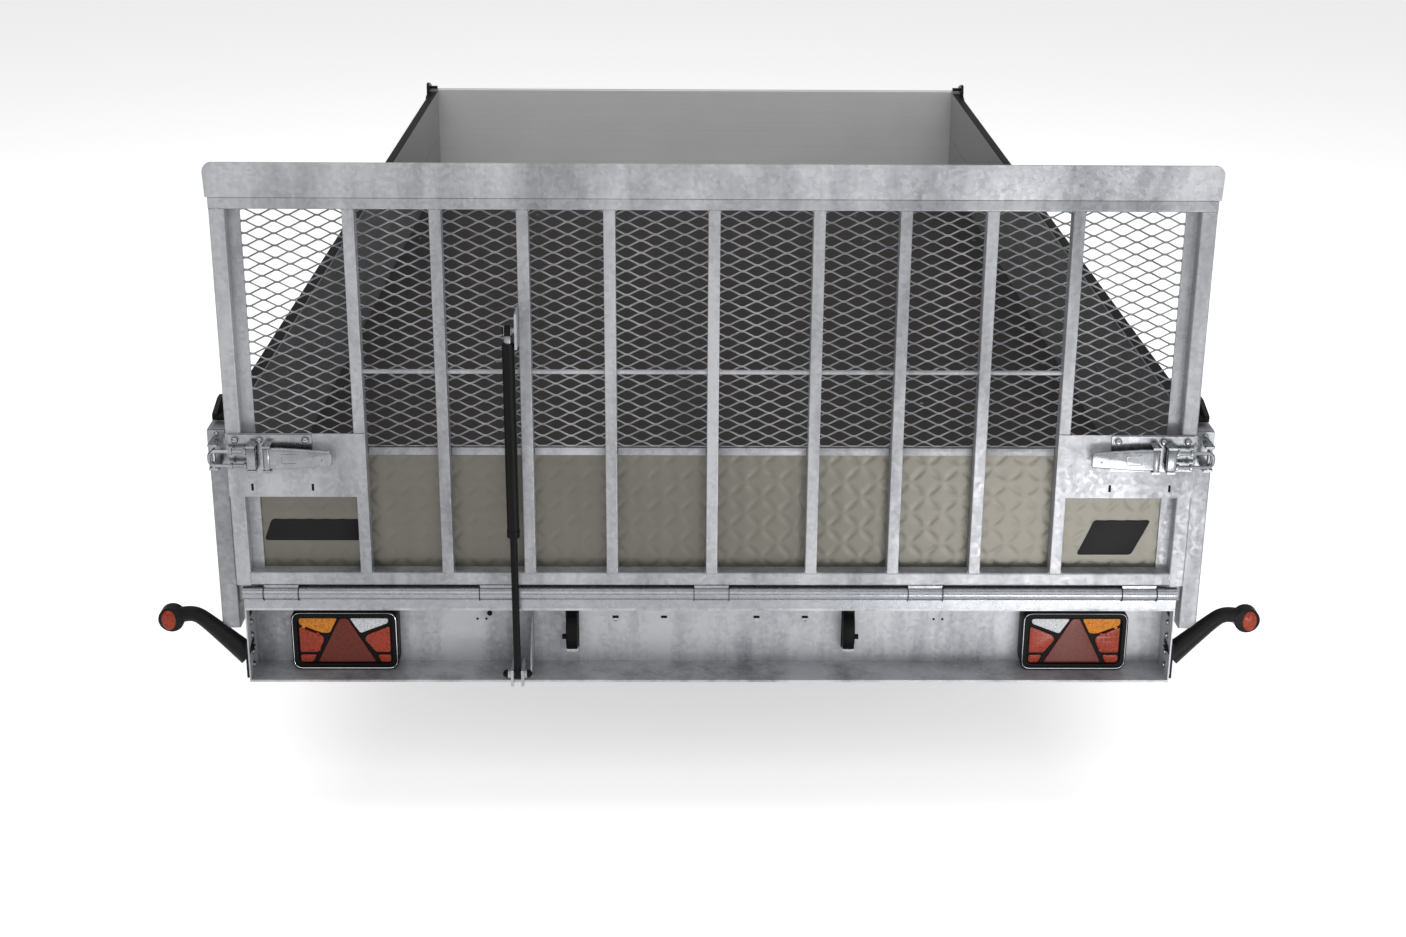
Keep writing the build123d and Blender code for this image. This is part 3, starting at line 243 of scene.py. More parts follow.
def facing_side(origin, side=1):
    """A flat drawing's place whose X is along the trailer, Y is up and Z points sideways."""
    turn = Matrix(((0, 0, side), (side, 0, 0), (0, 1, 0))).to_4x4()
    return Matrix.Translation(origin) @ turn


def add_plate(points, thickness, place, bevel=0.0, corner=0.0, hole=None):
    """A plate cut to an outline, with its back on the drawing and its front raised off it."""
    outline = round_corners(points, corner) if corner else [Vector(point) for point in points]
    piece = curve_piece(outline, True)
    curve = piece.data
    if hole:
        inside = curve.splines.new("POLY")
        inside.points.add(len(hole) - 1)
        for n, point in enumerate(hole):
            inside.points[n].co = (*point[:2], 0.0, 1.0)
        inside.use_cyclic_u = True
    curve.dimensions = "2D"
    curve.fill_mode = "BOTH"
    curve.extrude = thickness / 2 - bevel
    curve.bevel_depth = bevel
    curve.bevel_resolution = 2
    curve.offset = -bevel
    select_only(piece)
    bpy.ops.object.convert(target="MESH")
    piece = bpy.context.object
    piece.matrix_world = place @ Matrix.Translation((0, 0, thickness / 2))
    apply_place()
    return tidy_mesh(piece)


def add_path(points, radius, sides=8, radii=None, kind="POLY", cyclic=False, smooth_steps=6):
    """A rod bent along points, which may swell and narrow along its length."""
    piece = curve_piece(points, cyclic, radii, kind)
    piece.data.dimensions = "3D"
    piece.data.bevel_depth = radius
    piece.data.bevel_resolution = max(0, sides // 2 - 2)
    piece.data.resolution_u = smooth_steps
    piece.data.use_fill_caps = True
    select_only(piece)
    bpy.ops.object.convert(target="MESH")
    return tidy_mesh(bpy.context.object)


def add_bead(start, end, radius=0.0025, ripples=5):
    """A weld bead with the ripples that the torch leaves."""
    start, end = Vector(start), Vector(end)
    count = 2 * ripples + 1
    points = [start.lerp(end, n / (count - 1)) for n in range(count)]
    radii = [0.6 if n in (0, count - 1) else 1.0 + 0.16 * (-1) ** n for n in range(count)]
    return add_path(points, radius, sides=6, radii=radii)


def add_lathe(profile, centre, axis, steps=48):
    """A closed outline of (along, radius) points turned about an axis through a centre."""
    clear_selection()
    bpy.ops.mesh.primitive_circle_add(vertices=len(profile), radius=1, fill_type="NOTHING")
    piece = bpy.context.object
    axis = Vector(axis).normalized()
    out = axis.orthogonal().normalized()
    for vertex, (along, radius) in zip(piece.data.vertices, profile):
        vertex.co = axis * along + out * radius
    bpy.ops.object.mode_set(mode="EDIT")
    bpy.ops.mesh.select_all(action="SELECT")
    bpy.ops.mesh.spin(steps=steps, angle=tau, center=(0, 0, 0), axis=axis)
    bpy.ops.object.mode_set(mode="OBJECT")
    piece.location = centre
    apply_place()
    return tidy_mesh(piece)


def copy_piece(piece, shift=(0, 0, 0), mirrored=False):
    """A copy with its own mesh, moved and, if asked, mirrored to the other side of the trailer."""
    copy = piece.copy()
    copy.data = piece.data.copy()
    bpy.context.collection.objects.link(copy)
    place = Matrix.Translation(shift)
    if mirrored:
        place = Matrix.Scale(-1, 4, (1, 0, 0)) @ place
    copy.matrix_world = place @ copy.matrix_world
    select_only(copy)
    apply_place()
    if mirrored:
        tidy_mesh(copy, 0.0)
    return copy


def join(pieces):
    """Joins pieces into the first one."""
    select_only(*pieces)
    if len(pieces) > 1:
        bpy.ops.object.join()
    return bpy.context.object


def apply_modifiers(piece):
    """Applies every modifier of a piece, in order."""
    select_only(piece)
    for modifier in list(piece.modifiers):
        bpy.ops.object.modifier_apply(modifier=modifier.name)


def finish_piece(piece, name, body, finish, slot=None, replaces=(), smooth=35.0):
    """Names a piece, gives it its finish and hands it to the body it moves with.

    The slot argument is not used.
    """
    slot = slot or finish
    piece.name = name
    piece.data.name = name
    piece.data.materials.clear()
    piece.data.materials.append(MATERIALS[finish])
    select_only(piece)
    if smooth:
        bpy.ops.object.shade_smooth_by_angle(angle=radians(smooth))
    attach(piece, body)
    if replaces:
        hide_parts(*replaces)
    return piece


# --- Settings --------------------------------------------------------------------------------------


class TrailerSizes(PropertyGroup):
    """Sizes of the fine parts."""

    diamond_width: FloatProperty(
        name="Diamond width",
        description="Pitch of the mesh across the ramp",
        default=0.0612,
        unit="LENGTH",
    )
    diamond_height: FloatProperty(
        name="Diamond height", description="Pitch of the mesh up the ramp", default=0.0262, unit="LENGTH"
    )
    strand: FloatProperty(
        name="Strand", description="Width of the mesh's strands", default=0.0050, unit="LENGTH"
    )
    tread_pitch: FloatProperty(
        name="Tread pitch",
        description="Distance between the tread plate's bars",
        default=0.036,
        unit="LENGTH",
    )
    tread_height: FloatProperty(
        name="Tread height", description="Height of the tread plate's bars", default=0.0011, unit="LENGTH"
    )
    lug_count: IntProperty(
        name="Lugs", description="Shoulder blocks round a tyre", default=24, min=8, max=48
    )


class TrailerColours(PropertyGroup):
    """Colours of the finishes."""

    zinc_light: FloatVectorProperty(
        name="Zinc",
        description="Light grey of hot-dip zinc",
        default=(0.37, 0.375, 0.395, 1),
        size=4,
        subtype="COLOR",
    )
    zinc_dark: FloatVectorProperty(
        name="Dull zinc",
        description="Dull grey of old zinc",
        default=(0.125, 0.13, 0.142, 1),
        size=4,
        subtype="COLOR",
    )
    board: FloatVectorProperty(
        name="Boards",
        description="Anodised aluminium boards",
        default=(0.68, 0.68, 0.685, 1),
        size=4,
        subtype="COLOR",
    )
    tread: FloatVectorProperty(
        name="Tread plate",
        description="Aluminium tread plate",
        default=(0.155, 0.147, 0.128, 1),
        size=4,
        subtype="COLOR",
    )
    ply: FloatVectorProperty(
        name="Floor",
        description="Phenolic film on the floor",
        default=(0.012, 0.009, 0.008, 1),
        size=4,
        subtype="COLOR",
    )
    red: FloatVectorProperty(
        name="Red lens",
        description="Stop and tail lenses",
        default=(0.27, 0.030, 0.010, 1),
        size=4,
        subtype="COLOR",
    )
    amber: FloatVectorProperty(
        name="Amber lens",
        description="Indicator lenses",
        default=(0.50, 0.17, 0.010, 1),
        size=4,
        subtype="COLOR",
    )


class TrailerStage(PropertyGroup):
    """Camera and lights."""

    camera_back: FloatProperty(
        name="Camera distance",
        description="Behind the rear edge of the trailer",
        default=4.137,
        unit="LENGTH",
    )
    camera_side: FloatProperty(
        name="Camera side", description="To the right of the middle", default=-0.082, unit="LENGTH"
    )
    camera_height: FloatProperty(
        name="Camera height", description="Above the ramp's hinge", default=1.831, unit="LENGTH"
    )
    tilt: FloatProperty(
        name="Tilt", description="Camera's angle below level", default=radians(20.12), subtype="ANGLE"
    )
    turn: FloatProperty(
        name="Turn", description="Camera's turn to the right", default=radians(0.84), subtype="ANGLE"
    )
    roll: FloatProperty(name="Roll", description="Camera's roll", default=radians(0.40), subtype="ANGLE")
    lens: FloatProperty(name="Lens", description="Focal length in millimetres", default=53.0)
    world: FloatProperty(name="Sky", description="Strength of the even studio light", default=0.30)
    key: FloatProperty(
        name="Key light", description="Power of the large light overhead", default=230.0, unit="POWER"
    )
    side_light: FloatProperty(
        name="Side light", description="Power of the light on the right", default=18.0, unit="POWER"
    )
    low_light: FloatProperty(
        name="Low light", description="Power of the low light on the right", default=9.0, unit="POWER"
    )
    rear_light: FloatProperty(
        name="Rear light",
        description="Power of the wide light behind the trailer",
        default=170.0,
        unit="POWER",
    )


# --- Shader groups ---------------------------------------------------------------------------------


def add_node(tree, kind, inputs=None, **settings):
    """Adds a node with its settings, and its inputs set or linked."""
    made = tree.nodes.new(kind)
    for key, value in settings.items():
        setattr(made, key, value)
    for key, value in (inputs or {}).items():
        if isinstance(value, bpy.types.NodeSocket):
            tree.links.new(value, made.inputs[key])
        else:
            made.inputs[key].default_value = value
    return made


def combine(tree, operation, first, second, kind="ShaderNodeMath", **settings):
    """The result of one sum on two values or sockets."""
    return add_node(tree, kind, {0: first, 1: second}, operation=operation, **settings).outputs[0]


def combine_vectors(tree, operation, first, second):
    """The result of one sum on two vectors or vector sockets."""
    return combine(tree, operation, first, second, "ShaderNodeVectorMath")


def noise(tree, vector, scale, detail, **settings):
    """A noise texture's two outputs: a value and a colour."""
    inputs = {"Vector": vector, "Scale": scale, "Detail": detail, **settings}
    return add_node(tree, "ShaderNodeTexNoise", inputs).outputs


def new_group(name, inputs, outputs):
    """A shader group with its named sockets, and the nodes that hold them."""
    group = bpy.data.node_groups.new(name, "ShaderNodeTree")
    for label, kind, default in inputs:
        socket = group.interface.new_socket(label, in_out="INPUT", socket_type=kind)
        if default is not None:
            socket.default_value = default
    for label, kind in outputs:
        group.interface.new_socket(label, in_out="OUTPUT", socket_type=kind)
    return group, group.nodes.new("NodeGroupInput").outputs, group.nodes.new("NodeGroupOutput").inputs


def spangle_group():
    """Zinc crystals with clouds and runs: a mask for the colour, a roughness and a height."""
    group, given, wanted = new_group(
        "Zinc spangle",
        (
            ("Vector", "NodeSocketVector", None),
            ("Crystals", "NodeSocketFloat", 70.0),
            ("Crystal Contrast", "NodeSocketFloat", 0.35),
            ("Run Contrast", "NodeSocketFloat", 0.5),
            ("Smooth", "NodeSocketFloat", 0.34),
            ("Rough", "NodeSocketFloat", 0.52),
        ),
        (("Mask", "NodeSocketFloat"), ("Roughness", "NodeSocketFloat"), ("Height", "NodeSocketFloat")),
    )
    warp = noise(group, given["Vector"], 30.0, 2.0)
    shift = combine_vectors(group, "MULTIPLY", warp["Color"], (0.012, 0.012, 0.012))
    warped = combine_vectors(group, "ADD", given["Vector"], shift)
    crystals = add_node(group, "ShaderNodeTexVoronoi", {"Vector": warped, "Scale": given["Crystals"]})
    shade = add_node(group, "ShaderNodeSeparateColor", {"Color": crystals.outputs["Color"]})
    stretched = combine_vectors(group, "MULTIPLY", given["Vector"], (9.0, 9.0, 1.6))
    runs = noise(group, stretched, 1.0, 5.0, Roughness=0.62)
    fine = noise(group, given["Vector"], 340.0, 3.0)
    run_part = add_node(
        group, "ShaderNodeMapRange", {"Value": runs[0], "From Min": 0.32, "From Max": 0.68}
    )
    run_weight = combine(group, "MULTIPLY", run_part.outputs[0], given["Run Contrast"])
    crystal_weight = combine(group, "MULTIPLY", shade.outputs[0], given["Crystal Contrast"])
    both = combine(group, "ADD", run_weight, crystal_weight)
    mask = combine(group, "ADD", both, 0.12, use_clamp=True)
    levels = {"Value": shade.outputs[1], "To Min": given["Smooth"], "To Max": given["Rough"]}
    rough = add_node(group, "ShaderNodeMapRange", levels)
    height = combine(group, "ADD", combine(group, "MULTIPLY", fine[0], 0.35), both)
    group.links.new(mask, wanted["Mask"])
    group.links.new(rough.outputs[0], wanted["Roughness"])
    group.links.new(height, wanted["Height"])
    return group


def grain_group():
    """Fine parallel lines, as on brushed or extruded metal: a mask and a height."""
    group, given, wanted = new_group(
        "Drawn grain",
        (
            ("Vector", "NodeSocketVector", None),
            ("Stretch", "NodeSocketVector", (1.0, 60.0, 260.0)),
            ("Cloud Scale", "NodeSocketFloat", 4.0),
            ("Cloud Amount", "NodeSocketFloat", 0.5),
        ),
        (("Mask", "NodeSocketFloat"), ("Height", "NodeSocketFloat")),
    )
    stretched = combine_vectors(group, "MULTIPLY", given["Vector"], given["Stretch"])
    lines = noise(group, stretched, 1.0, 4.0)
    clouds = noise(group, given["Vector"], given["Cloud Scale"], 4.0, Roughness=0.6)
    mixed = add_node(group, "ShaderNodeMix", {0: given["Cloud Amount"], 2: lines[0], 3: clouds[0]})
    group.links.new(mixed.outputs[0], wanted["Mask"])
    group.links.new(lines[0], wanted["Height"])
    return group


def mottle_group():
    """Uneven colour with a fine pebbled surface, as on moulded or painted parts."""
    group, given, wanted = new_group(
        "Mottle",
        (
            ("Vector", "NodeSocketVector", None),
            ("Patches", "NodeSocketFloat", 14.0),
            ("Pebbles", "NodeSocketFloat", 900.0),
        ),
        (("Mask", "NodeSocketFloat"), ("Height", "NodeSocketFloat")),
    )
    patches = noise(group, given["Vector"], given["Patches"], 5.0)
    pebbles = add_node(
        group, "ShaderNodeTexVoronoi", {"Vector": given["Vector"], "Scale": given["Pebbles"]}
    )
    group.links.new(patches[0], wanted["Mask"])
    group.links.new(pebbles.outputs["Distance"], wanted["Height"])
    return group


# --- Materials -------------------------------------------------------------------------------------


def scaled(colour, share):
    """A colour made darker or lighter, as three channels and an alpha of one."""
    return (*[min(1.0, channel * share) for channel in colour[:3]], 1.0)


def new_material(name, metallic=0.0, roughness=0.5, **sockets):
    """A material with its shader's plain sockets set, and the coordinates that its patterns read."""
    material = bpy.data.materials.new(name)
    material.use_nodes = True
    tree = material.node_tree
    shader = tree.nodes["Principled BSDF"]
    shader.inputs["Metallic"].default_value = metallic
    shader.inputs["Roughness"].default_value = roughness
    for label, value in sockets.items():
        shader.inputs[label.replace("_", " ")].default_value = value
    place = tree.nodes.new("ShaderNodeTexCoord").outputs["Object"]
    return material, tree, shader, place


def colour_by_mask(tree, shader, mask, dark, light):
    """Mixes two colours by a mask into the shader's base colour."""
    mix = add_node(tree, "ShaderNodeMix", {0: mask, 6: tuple(dark), 7: tuple(light)}, data_type="RGBA")
    tree.links.new(mix.outputs[2], shader.inputs["Base Color"])


def bump(tree, shader, height, distance, strength=1.0):
    """Raises the surface by a height mask."""
    raised = add_node(
        tree, "ShaderNodeBump", {"Height": height, "Distance": distance, "Strength": strength}
    )
    tree.links.new(raised.outputs[0], shader.inputs["Normal"])


def zinc_material(
    name,
    group,
    dark,
    light,
    crystals=105.0,
    contrast=0.24,
    runs=0.8,
    rough=(0.3, 0.5),
    height=0.00035,
    metallic=0.35,
):
    """Hot-dip or plated zinc, with its crystals and runs."""
    material, tree, shader, place = new_material(name, metallic=metallic)
    spangle = add_node(tree, "ShaderNodeGroup", node_tree=group)
    tree.links.new(place, spangle.inputs["Vector"])
    values = {
        "Crystals": crystals,
        "Crystal Contrast": contrast,
        "Run Contrast": runs,
        "Smooth": rough[0],
        "Rough": rough[1],
    }
    for label, value in values.items():
        spangle.inputs[label].default_value = value
    colour_by_mask(tree, shader, spangle.outputs["Mask"], dark, light)
    tree.links.new(spangle.outputs["Roughness"], shader.inputs["Roughness"])
    bump(tree, shader, spangle.outputs["Height"], height)
    return material


def grain_material(
    name, group, dark, light, stretch, metallic=0.9, rough=(0.3, 0.45), height=0.00008, cloud=0.5
):
    """Metal or board with a grain along one direction."""
    material, tree, shader, place = new_material(name, metallic=metallic)
    grain = add_node(tree, "ShaderNodeGroup", node_tree=group)
    tree.links.new(place, grain.inputs["Vector"])
    grain.inputs["Stretch"].default_value = stretch
    grain.inputs["Cloud Amount"].default_value = cloud
    colour_by_mask(tree, shader, grain.outputs["Mask"], dark, light)
    spread = add_node(
        tree,
        "ShaderNodeMapRange",
        {"Value": grain.outputs["Mask"], "To Min": rough[0], "To Max": rough[1]},
    )
    tree.links.new(spread.outputs[0], shader.inputs["Roughness"])
    bump(tree, shader, grain.outputs["Height"], height)
    return material


def mottled_material(
    name, group, dark, light, roughness, metallic=0.0, height=0.00012, pebbles=900.0, **sockets
):
    """Moulded plastic, rubber or paint with uneven colour and a pebbled surface."""
    material, tree, shader, place = new_material(name, metallic=metallic, roughness=roughness, **sockets)
    mottle = add_node(tree, "ShaderNodeGroup", node_tree=group)
    tree.links.new(place, mottle.inputs["Vector"])
    mottle.inputs["Pebbles"].default_value = pebbles
    colour_by_mask(tree, shader, mottle.outputs["Mask"], dark, light)
    bump(tree, shader, mottle.outputs["Height"], height)
    return material


def lens_material(name, colour, flutes=260.0):
    """A moulded lens with fine flutes inside."""
    material, tree, shader, place = new_material(
        name, roughness=0.25, Coat_Weight=0.05, Coat_Roughness=0.06, Specular_IOR_Level=0.2
    )
    pattern = add_node(tree, "ShaderNodeTexVoronoi", {"Vector": place, "Scale": flutes})
    spread = add_node(tree, "ShaderNodeMapRange", {"Value": pattern.outputs["Distance"], "From Max": 0.8})
    colour_by_mask(tree, shader, spread.outputs[0], scaled(colour, 1.25), scaled(colour, 0.62))
    bump(tree, shader, pattern.outputs["Distance"], 0.0004, 0.5)
    return material


# CAD nodes whose finish differs from the rest of their material slot.
OWN_FINISHES = {
    "front_board": "front_aluminium",
    "rear_channel": "channel_zinc",
    "ramp_knuckles": "hinge_zinc",
    "ramp_hinge_leaf": "hinge_zinc",
}
MATERIALS = {}


class TRAILER_OT_finishes(Operator):
    """Builds the finishes and gives every CAD node its own"""

    bl_idname = "trailer.finishes"
    bl_label = "Finishes"

    def execute(self, context):
        colours = context.scene.trailer_colours
        spangle, grain, mottle = spangle_group(), grain_group(), mottle_group()
        zinc_dark, zinc_light = colours.zinc_dark, colours.zinc_light
        black, deep = (0.008, 0.008, 0.0085, 1), (0.003, 0.003, 0.0033, 1)
        made = {
            "galvanised_steel": zinc_material("galvanised steel", spangle, zinc_dark, zinc_light),
            "hinge_zinc": zinc_material(
                "hinge zinc",
                spangle,
                scaled(zinc_dark, 1.7),
                scaled(zinc_light, 1.05),
                runs=0.2,
                rough=(0.24, 0.34),
                height=0.00002,
                metallic=0.85,
            ),
            "channel_zinc": zinc_material(
                "channel zinc", spangle, scaled(zinc_dark, 1.15), scaled(zinc_light, 1.12), runs=1.0
            ),
            "bright_zinc": zinc_material(
                "bright zinc",
                spangle,
                (0.15, 0.157, 0.168, 1),
                (0.36, 0.37, 0.385, 1),
                crystals=90.0,
                contrast=0.15,
                runs=0.5,
                rough=(0.18, 0.30),
                height=0.00001,
                metallic=0.95,
            ),
            "cast_zinc": zinc_material(
                "cast zinc",
                spangle,
                (0.24, 0.25, 0.26, 1),
                (0.40, 0.41, 0.42, 1),
                420.0,
                0.3,
                0.4,
                (0.38, 0.55),
                0.00005,
            ),
            "dark_steel": grain_material(
                "dark steel", grain, (0.10, 0.10, 0.11, 1), (0.22, 0.22, 0.23, 1), (200.0, 2.0, 200.0)
            ),
            # The side boards' copy of the board colour runs from half to four fifths of it, darker than
            # the front board's copy of the same aluminium: painted shade for the shade on the side
            # boards.
            "board_aluminium": grain_material(
                "board aluminium",
                grain,
                scaled(colours.board, 0.5),
                scaled(colours.board, 0.8),
                (220.0, 1.2, 220.0),
            ),
            "front_aluminium": grain_material(
                "front board aluminium",
                grain,
                scaled(colours.board, 0.86),
                scaled(colours.board, 1.14),
                (1.2, 220.0, 220.0),
                0.3,
                (0.4, 0.5),
            ),
            "chequer_aluminium": grain_material(
                "tread plate aluminium",
                grain,
                scaled(colours.tread, 0.62),
                scaled(colours.tread, 1.1),
                (26.0, 26.0, 3.0),
                rough=(0.34, 0.5),
                cloud=0.6,
            ),
            "phenolic_ply": mottled_material(
                "phenolic film",
                mottle,
                scaled(colours.ply, 0.7),
                scaled(colours.ply, 1.5),
                0.5,
                height=0.0003,
                pebbles=320.0,
                Specular_IOR_Level=0.15,
            ),
            "black_plastic": mottled_material(
                "black plastic", mottle, deep, black, 0.42, Specular_IOR_Level=0.06
            ),
            "black_rubber": mottled_material(
                "black rubber", mottle, deep, (0.010, 0.010, 0.010, 1), 0.45, Specular_IOR_Level=0.12
            ),
            "tyre_rubber": mottled_material(
                "tyre rubber",
                mottle,
                (0.008, 0.008, 0.008, 1),
                (0.022, 0.022, 0.021, 1),
                0.7,
                Specular_IOR_Level=0.3,
            ),
            "black_steel": mottled_material(
                "black steel", mottle, deep, black, 0.3, Specular_IOR_Level=0.07
            ),
            "silver_paint": mottled_material(
                "silver paint",
                mottle,
                (0.42, 0.43, 0.44, 1),
                (0.56, 0.57, 0.58, 1),
                0.34,
                metallic=0.6,
                height=0.00003,
            ),
            "red_lens": lens_material("red lens", colours.red),
            "triangle_lens": lens_material("triangle lens", scaled(colours.red, 0.42), 420.0),
            "amber_lens": lens_material("amber lens", colours.amber),
            "clear_lens": lens_material("clear lens", (0.50, 0.51, 0.53, 1), 300.0),
            "label": mottled_material(
                "label film",
                mottle,
                (0.012, 0.012, 0.013, 1),
                (0.014, 0.014, 0.015, 1),
                0.35,
                Specular_IOR_Level=0.06,
            ),
            "bead": zinc_material(
                "weld zinc",
                spangle,
                scaled(zinc_dark, 1.1),
                scaled(zinc_light, 1.2),
                200.0,
                0.3,
                0.4,
                (0.26, 0.4),
            ),
            "bright_rim": grain_material(
                "bright rim",
                grain,
                (0.5, 0.5, 0.51, 1),
                (0.8, 0.8, 0.81, 1),
                (3.0, 200.0, 200.0),
                rough=(0.12, 0.2),
            ),
        }
        MATERIALS.update(made)
        for subpart in frame["record"]["subparts"]:
            name = OWN_FINISHES.get(subpart["node"], subpart["material_slot"])
            mesh = frame["nodes"][subpart["node"]].data
            mesh.materials.clear()
            mesh.materials.append(MATERIALS[name])
        return {"FINISHED"}


# --- Ramp ------------------------------------------------------------------------------------------


class TRAILER_OT_expanded_metal(Operator):
    """Expanded metal between the ramp's uprights, inside its ribs"""

    bl_idname = "trailer.expanded_metal"
    bl_label = "Expanded metal"

    def execute(self, context):
        sizes = context.scene.trailer_sizes
        wide, tall, strand = sizes.diamond_width, sizes.diamond_height, sizes.strand
        bond = 0.13 * wide
        low, high = node_box("ramp_mesh")
        low.z -= STRIP_DROP
        columns = 2 * ceil((high.x - low.x) / wide / 2) + 2
        rows = ceil((high.z - low.z) / tall) + 2
        clear_selection()
        bpy.ops.mesh.primitive_circle_add(vertices=6, radius=wide / 2, fill_type="NGON")
        cell = context.object
        tip, flat = (wide - bond) / 2, bond / 2
        corners = (
            (-tip, 0.0), (-flat, -tall / 2), (flat, -tall / 2), (tip, 0.0), (flat, tall / 2),
            (-flat, tall / 2),
        )
        for vertex, (x, z) in zip(cell.data.vertices, corners):
            vertex.co = (x, 0, z)
        cell.location = (-columns * wide / 2, (low.y + high.y) / 2, low.z - tall / 2)
        apply_place()
        steps = ((columns, (wide, 0, 0)), (2, (wide / 2, 0, tall / 2)), (rows, (0, 0, tall)))
        for count, step in steps:
            array = cell.modifiers.new("repeat", "ARRAY")
            array.count = count
            array.use_relative_offset = False
            array.use_constant_offset = True
            array.constant_offset_displace = step
        apply_modifiers(cell)
        tidy_mesh(cell, 0.0002)
        cuts = (
            ((low.x, 0, 0), (-1, 0, 0)),
            ((high.x, 0, 0), (1, 0, 0)),
            ((0, 0, low.z + strand / 2), (0, 0, -1)),
            ((0, 0, high.z - strand / 2), (0, 0, 1)),
        )
        bpy.ops.object.mode_set(mode="EDIT")
        for place, outwards in cuts:
            bpy.ops.mesh.select_all(action="SELECT")
            bpy.ops.mesh.bisect(plane_co=place, plane_no=outwards, clear_outer=True)
        bpy.ops.object.mode_set(mode="OBJECT")
        wires = cell.modifiers.new("strands", "WIREFRAME")
        wires.thickness = strand
        wires.use_even_offset = False
        wires.use_boundary = True
        apply_modifiers(cell)
        finish_piece(
            cell, "expanded_metal", "ramp", "galvanised_steel", replaces=("ramp_mesh",), smooth=0
        )
        return {"FINISHED"}


class TRAILER_OT_tread_plate(Operator):
    """Pressed tread plate with its edge strips"""

    bl_idname = "trailer.tread_plate"
    bl_label = "Tread plate"

    def execute(self, context):
        sizes = context.scene.trailer_sizes
        low, high = node_box("chequer_plate")
        strip_top = high.z - STRIP_DROP
        strip_height = 0.017
        plate_top = strip_top - strip_height + 0.003
        grid = 0.0048
        clear_selection()
        bpy.ops.mesh.primitive_grid_add(
            x_subdivisions=round((high.x - low.x) / grid),
            y_subdivisions=round((plate_top - low.z) / grid),
            size=1,
            location=((low.x + high.x) / 2, high.y - PLATE_DEPTH, (low.z + plate_top) / 2),
            rotation=(pi / 2, 0, 0),
        )
        plate = context.object
        plate.scale = (high.x - low.x, plate_top - low.z, 1)
        apply_place()
        pitch = sizes.tread_pitch
        for vertex in plate.data.vertices:
            column, row = vertex.co.x / pitch, vertex.co.z / pitch
            turned = 1 if (int(column // 1) + int(row // 1)) % 2 else -1
            across, up = column % 1 - 0.5, row % 1 - 0.5
            along, over = (across + turned * up) / 2**0.5, (across - turned * up) / 2**0.5
            fall = 1 - (along / 0.52) ** 2 - (over / 0.17) ** 2
            vertex.co.y += sizes.tread_height * max(0.0, fall) ** 0.5
        wall = plate.modifiers.new("wall", "SOLIDIFY")
        wall.thickness = PLATE_DEPTH - 0.0018
        wall.offset = -1
        apply_modifiers(plate)
        tidy_mesh(plate, 0.0)
        strips = []
        for left, right in zip(RIB_CENTRES, RIB_CENTRES[1:]):
            strips.append(
                add_block(
                    (left + RIB_WIDTH / 2 + 0.001, low.y, strip_top - strip_height),
                    (right - RIB_WIDTH / 2 - 0.001, high.y - PLATE_DEPTH + 0.0005, strip_top),
                    0.0012,
                ),
            )
        finish_piece(
            plate, "tread_plate", "ramp", "chequer_aluminium", replaces=("chequer_plate",), smooth=60
        )
        finish_piece(join(strips), "edge_strips", "ramp", "galvanised_steel")
        return {"FINISHED"}


class TRAILER_OT_welds(Operator):
    """Weld beads where ribs, rod, uprights and hinge leaf meet"""

    bl_idname = "trailer.welds"
    bl_label = "Welds"

    def execute(self, context):
        ribs_low, ribs_high = node_box("ramp_ribs")
        bars_low = node_box("ramp_cross_bars")[0]
        rod_z = HINGE.z + ROD_HEIGHT
        beads = []
        for centre in RIB_CENTRES:
            for side in (-1, 1):
                x = centre + side * (RIB_WIDTH / 2 + 0.0008)
                for z in (ribs_low.z + 0.001, ribs_high.z - 0.001):
                    start, end = (x, ribs_low.y + 0.004, z), (x, ribs_high.y - 0.006, z)
                    beads.append(add_bead(start, end, 0.0026, 6))
                beads.append(
                    add_bead(
                        (x, ribs_low.y + 0.008, rod_z + 0.0045),
                        (x, ribs_low.y + 0.021, rod_z + 0.0045),
                        0.002,
                        3,
                    ),
                )
            front = bars_low.y + 0.0022
            for z in (ribs_low.z - 0.0005, ribs_high.z + 0.0005):
                beads.append(add_bead((centre - 0.011, front, z), (centre + 0.011, front, z), 0.0022, 5))
        uprights_high = node_box("ramp_uprights")[1]
        inner = uprights_high.x - 0.033
        for side in (-1, 1):
            x = side * inner
            beads.append(
                add_bead(
                    (x, bars_low.y + 0.001, bars_low.z + 0.002),
                    (x, bars_low.y + 0.001, bars_low.z + 0.03),
                    0.002,
                    7,
                ),
            )
            beads.append(
                add_bead(
                    (side * (inner + 0.003), bars_low.y + 0.0012, uprights_high.z),
                    (side * (inner + 0.030), bars_low.y + 0.0012, uprights_high.z),
                    0.002,
                    7,
                ),
            )
            beads.append(
                add_bead(
                    (side * (inner - 0.024), ribs_high.y - 0.002, ribs_low.z),
                    (x, ribs_high.y - 0.002, ribs_low.z),
                    0.002,
                    6,
                ),
            )
        finish_piece(join(beads), "ramp_welds", "ramp", "bead", "galvanised_steel")
        leaf_low = node_box("ramp_hinge_leaf")[0]
        beads = []
        for place in (-0.9, -0.7, -0.55, -0.38, -0.2, 0.2, 0.38, 0.55, 0.7, 0.9):
            beads.append(
                add_bead(
                    (place, leaf_low.y + 0.014, leaf_low.z + 0.0005),
                    (place + 0.05, leaf_low.y + 0.014, leaf_low.z + 0.0005),
                    0.002,
                    9,
                ),
            )
        finish_piece(join(beads), "leaf_welds", "chassis", "bead", "galvanised_steel")
        return {"FINISHED"}


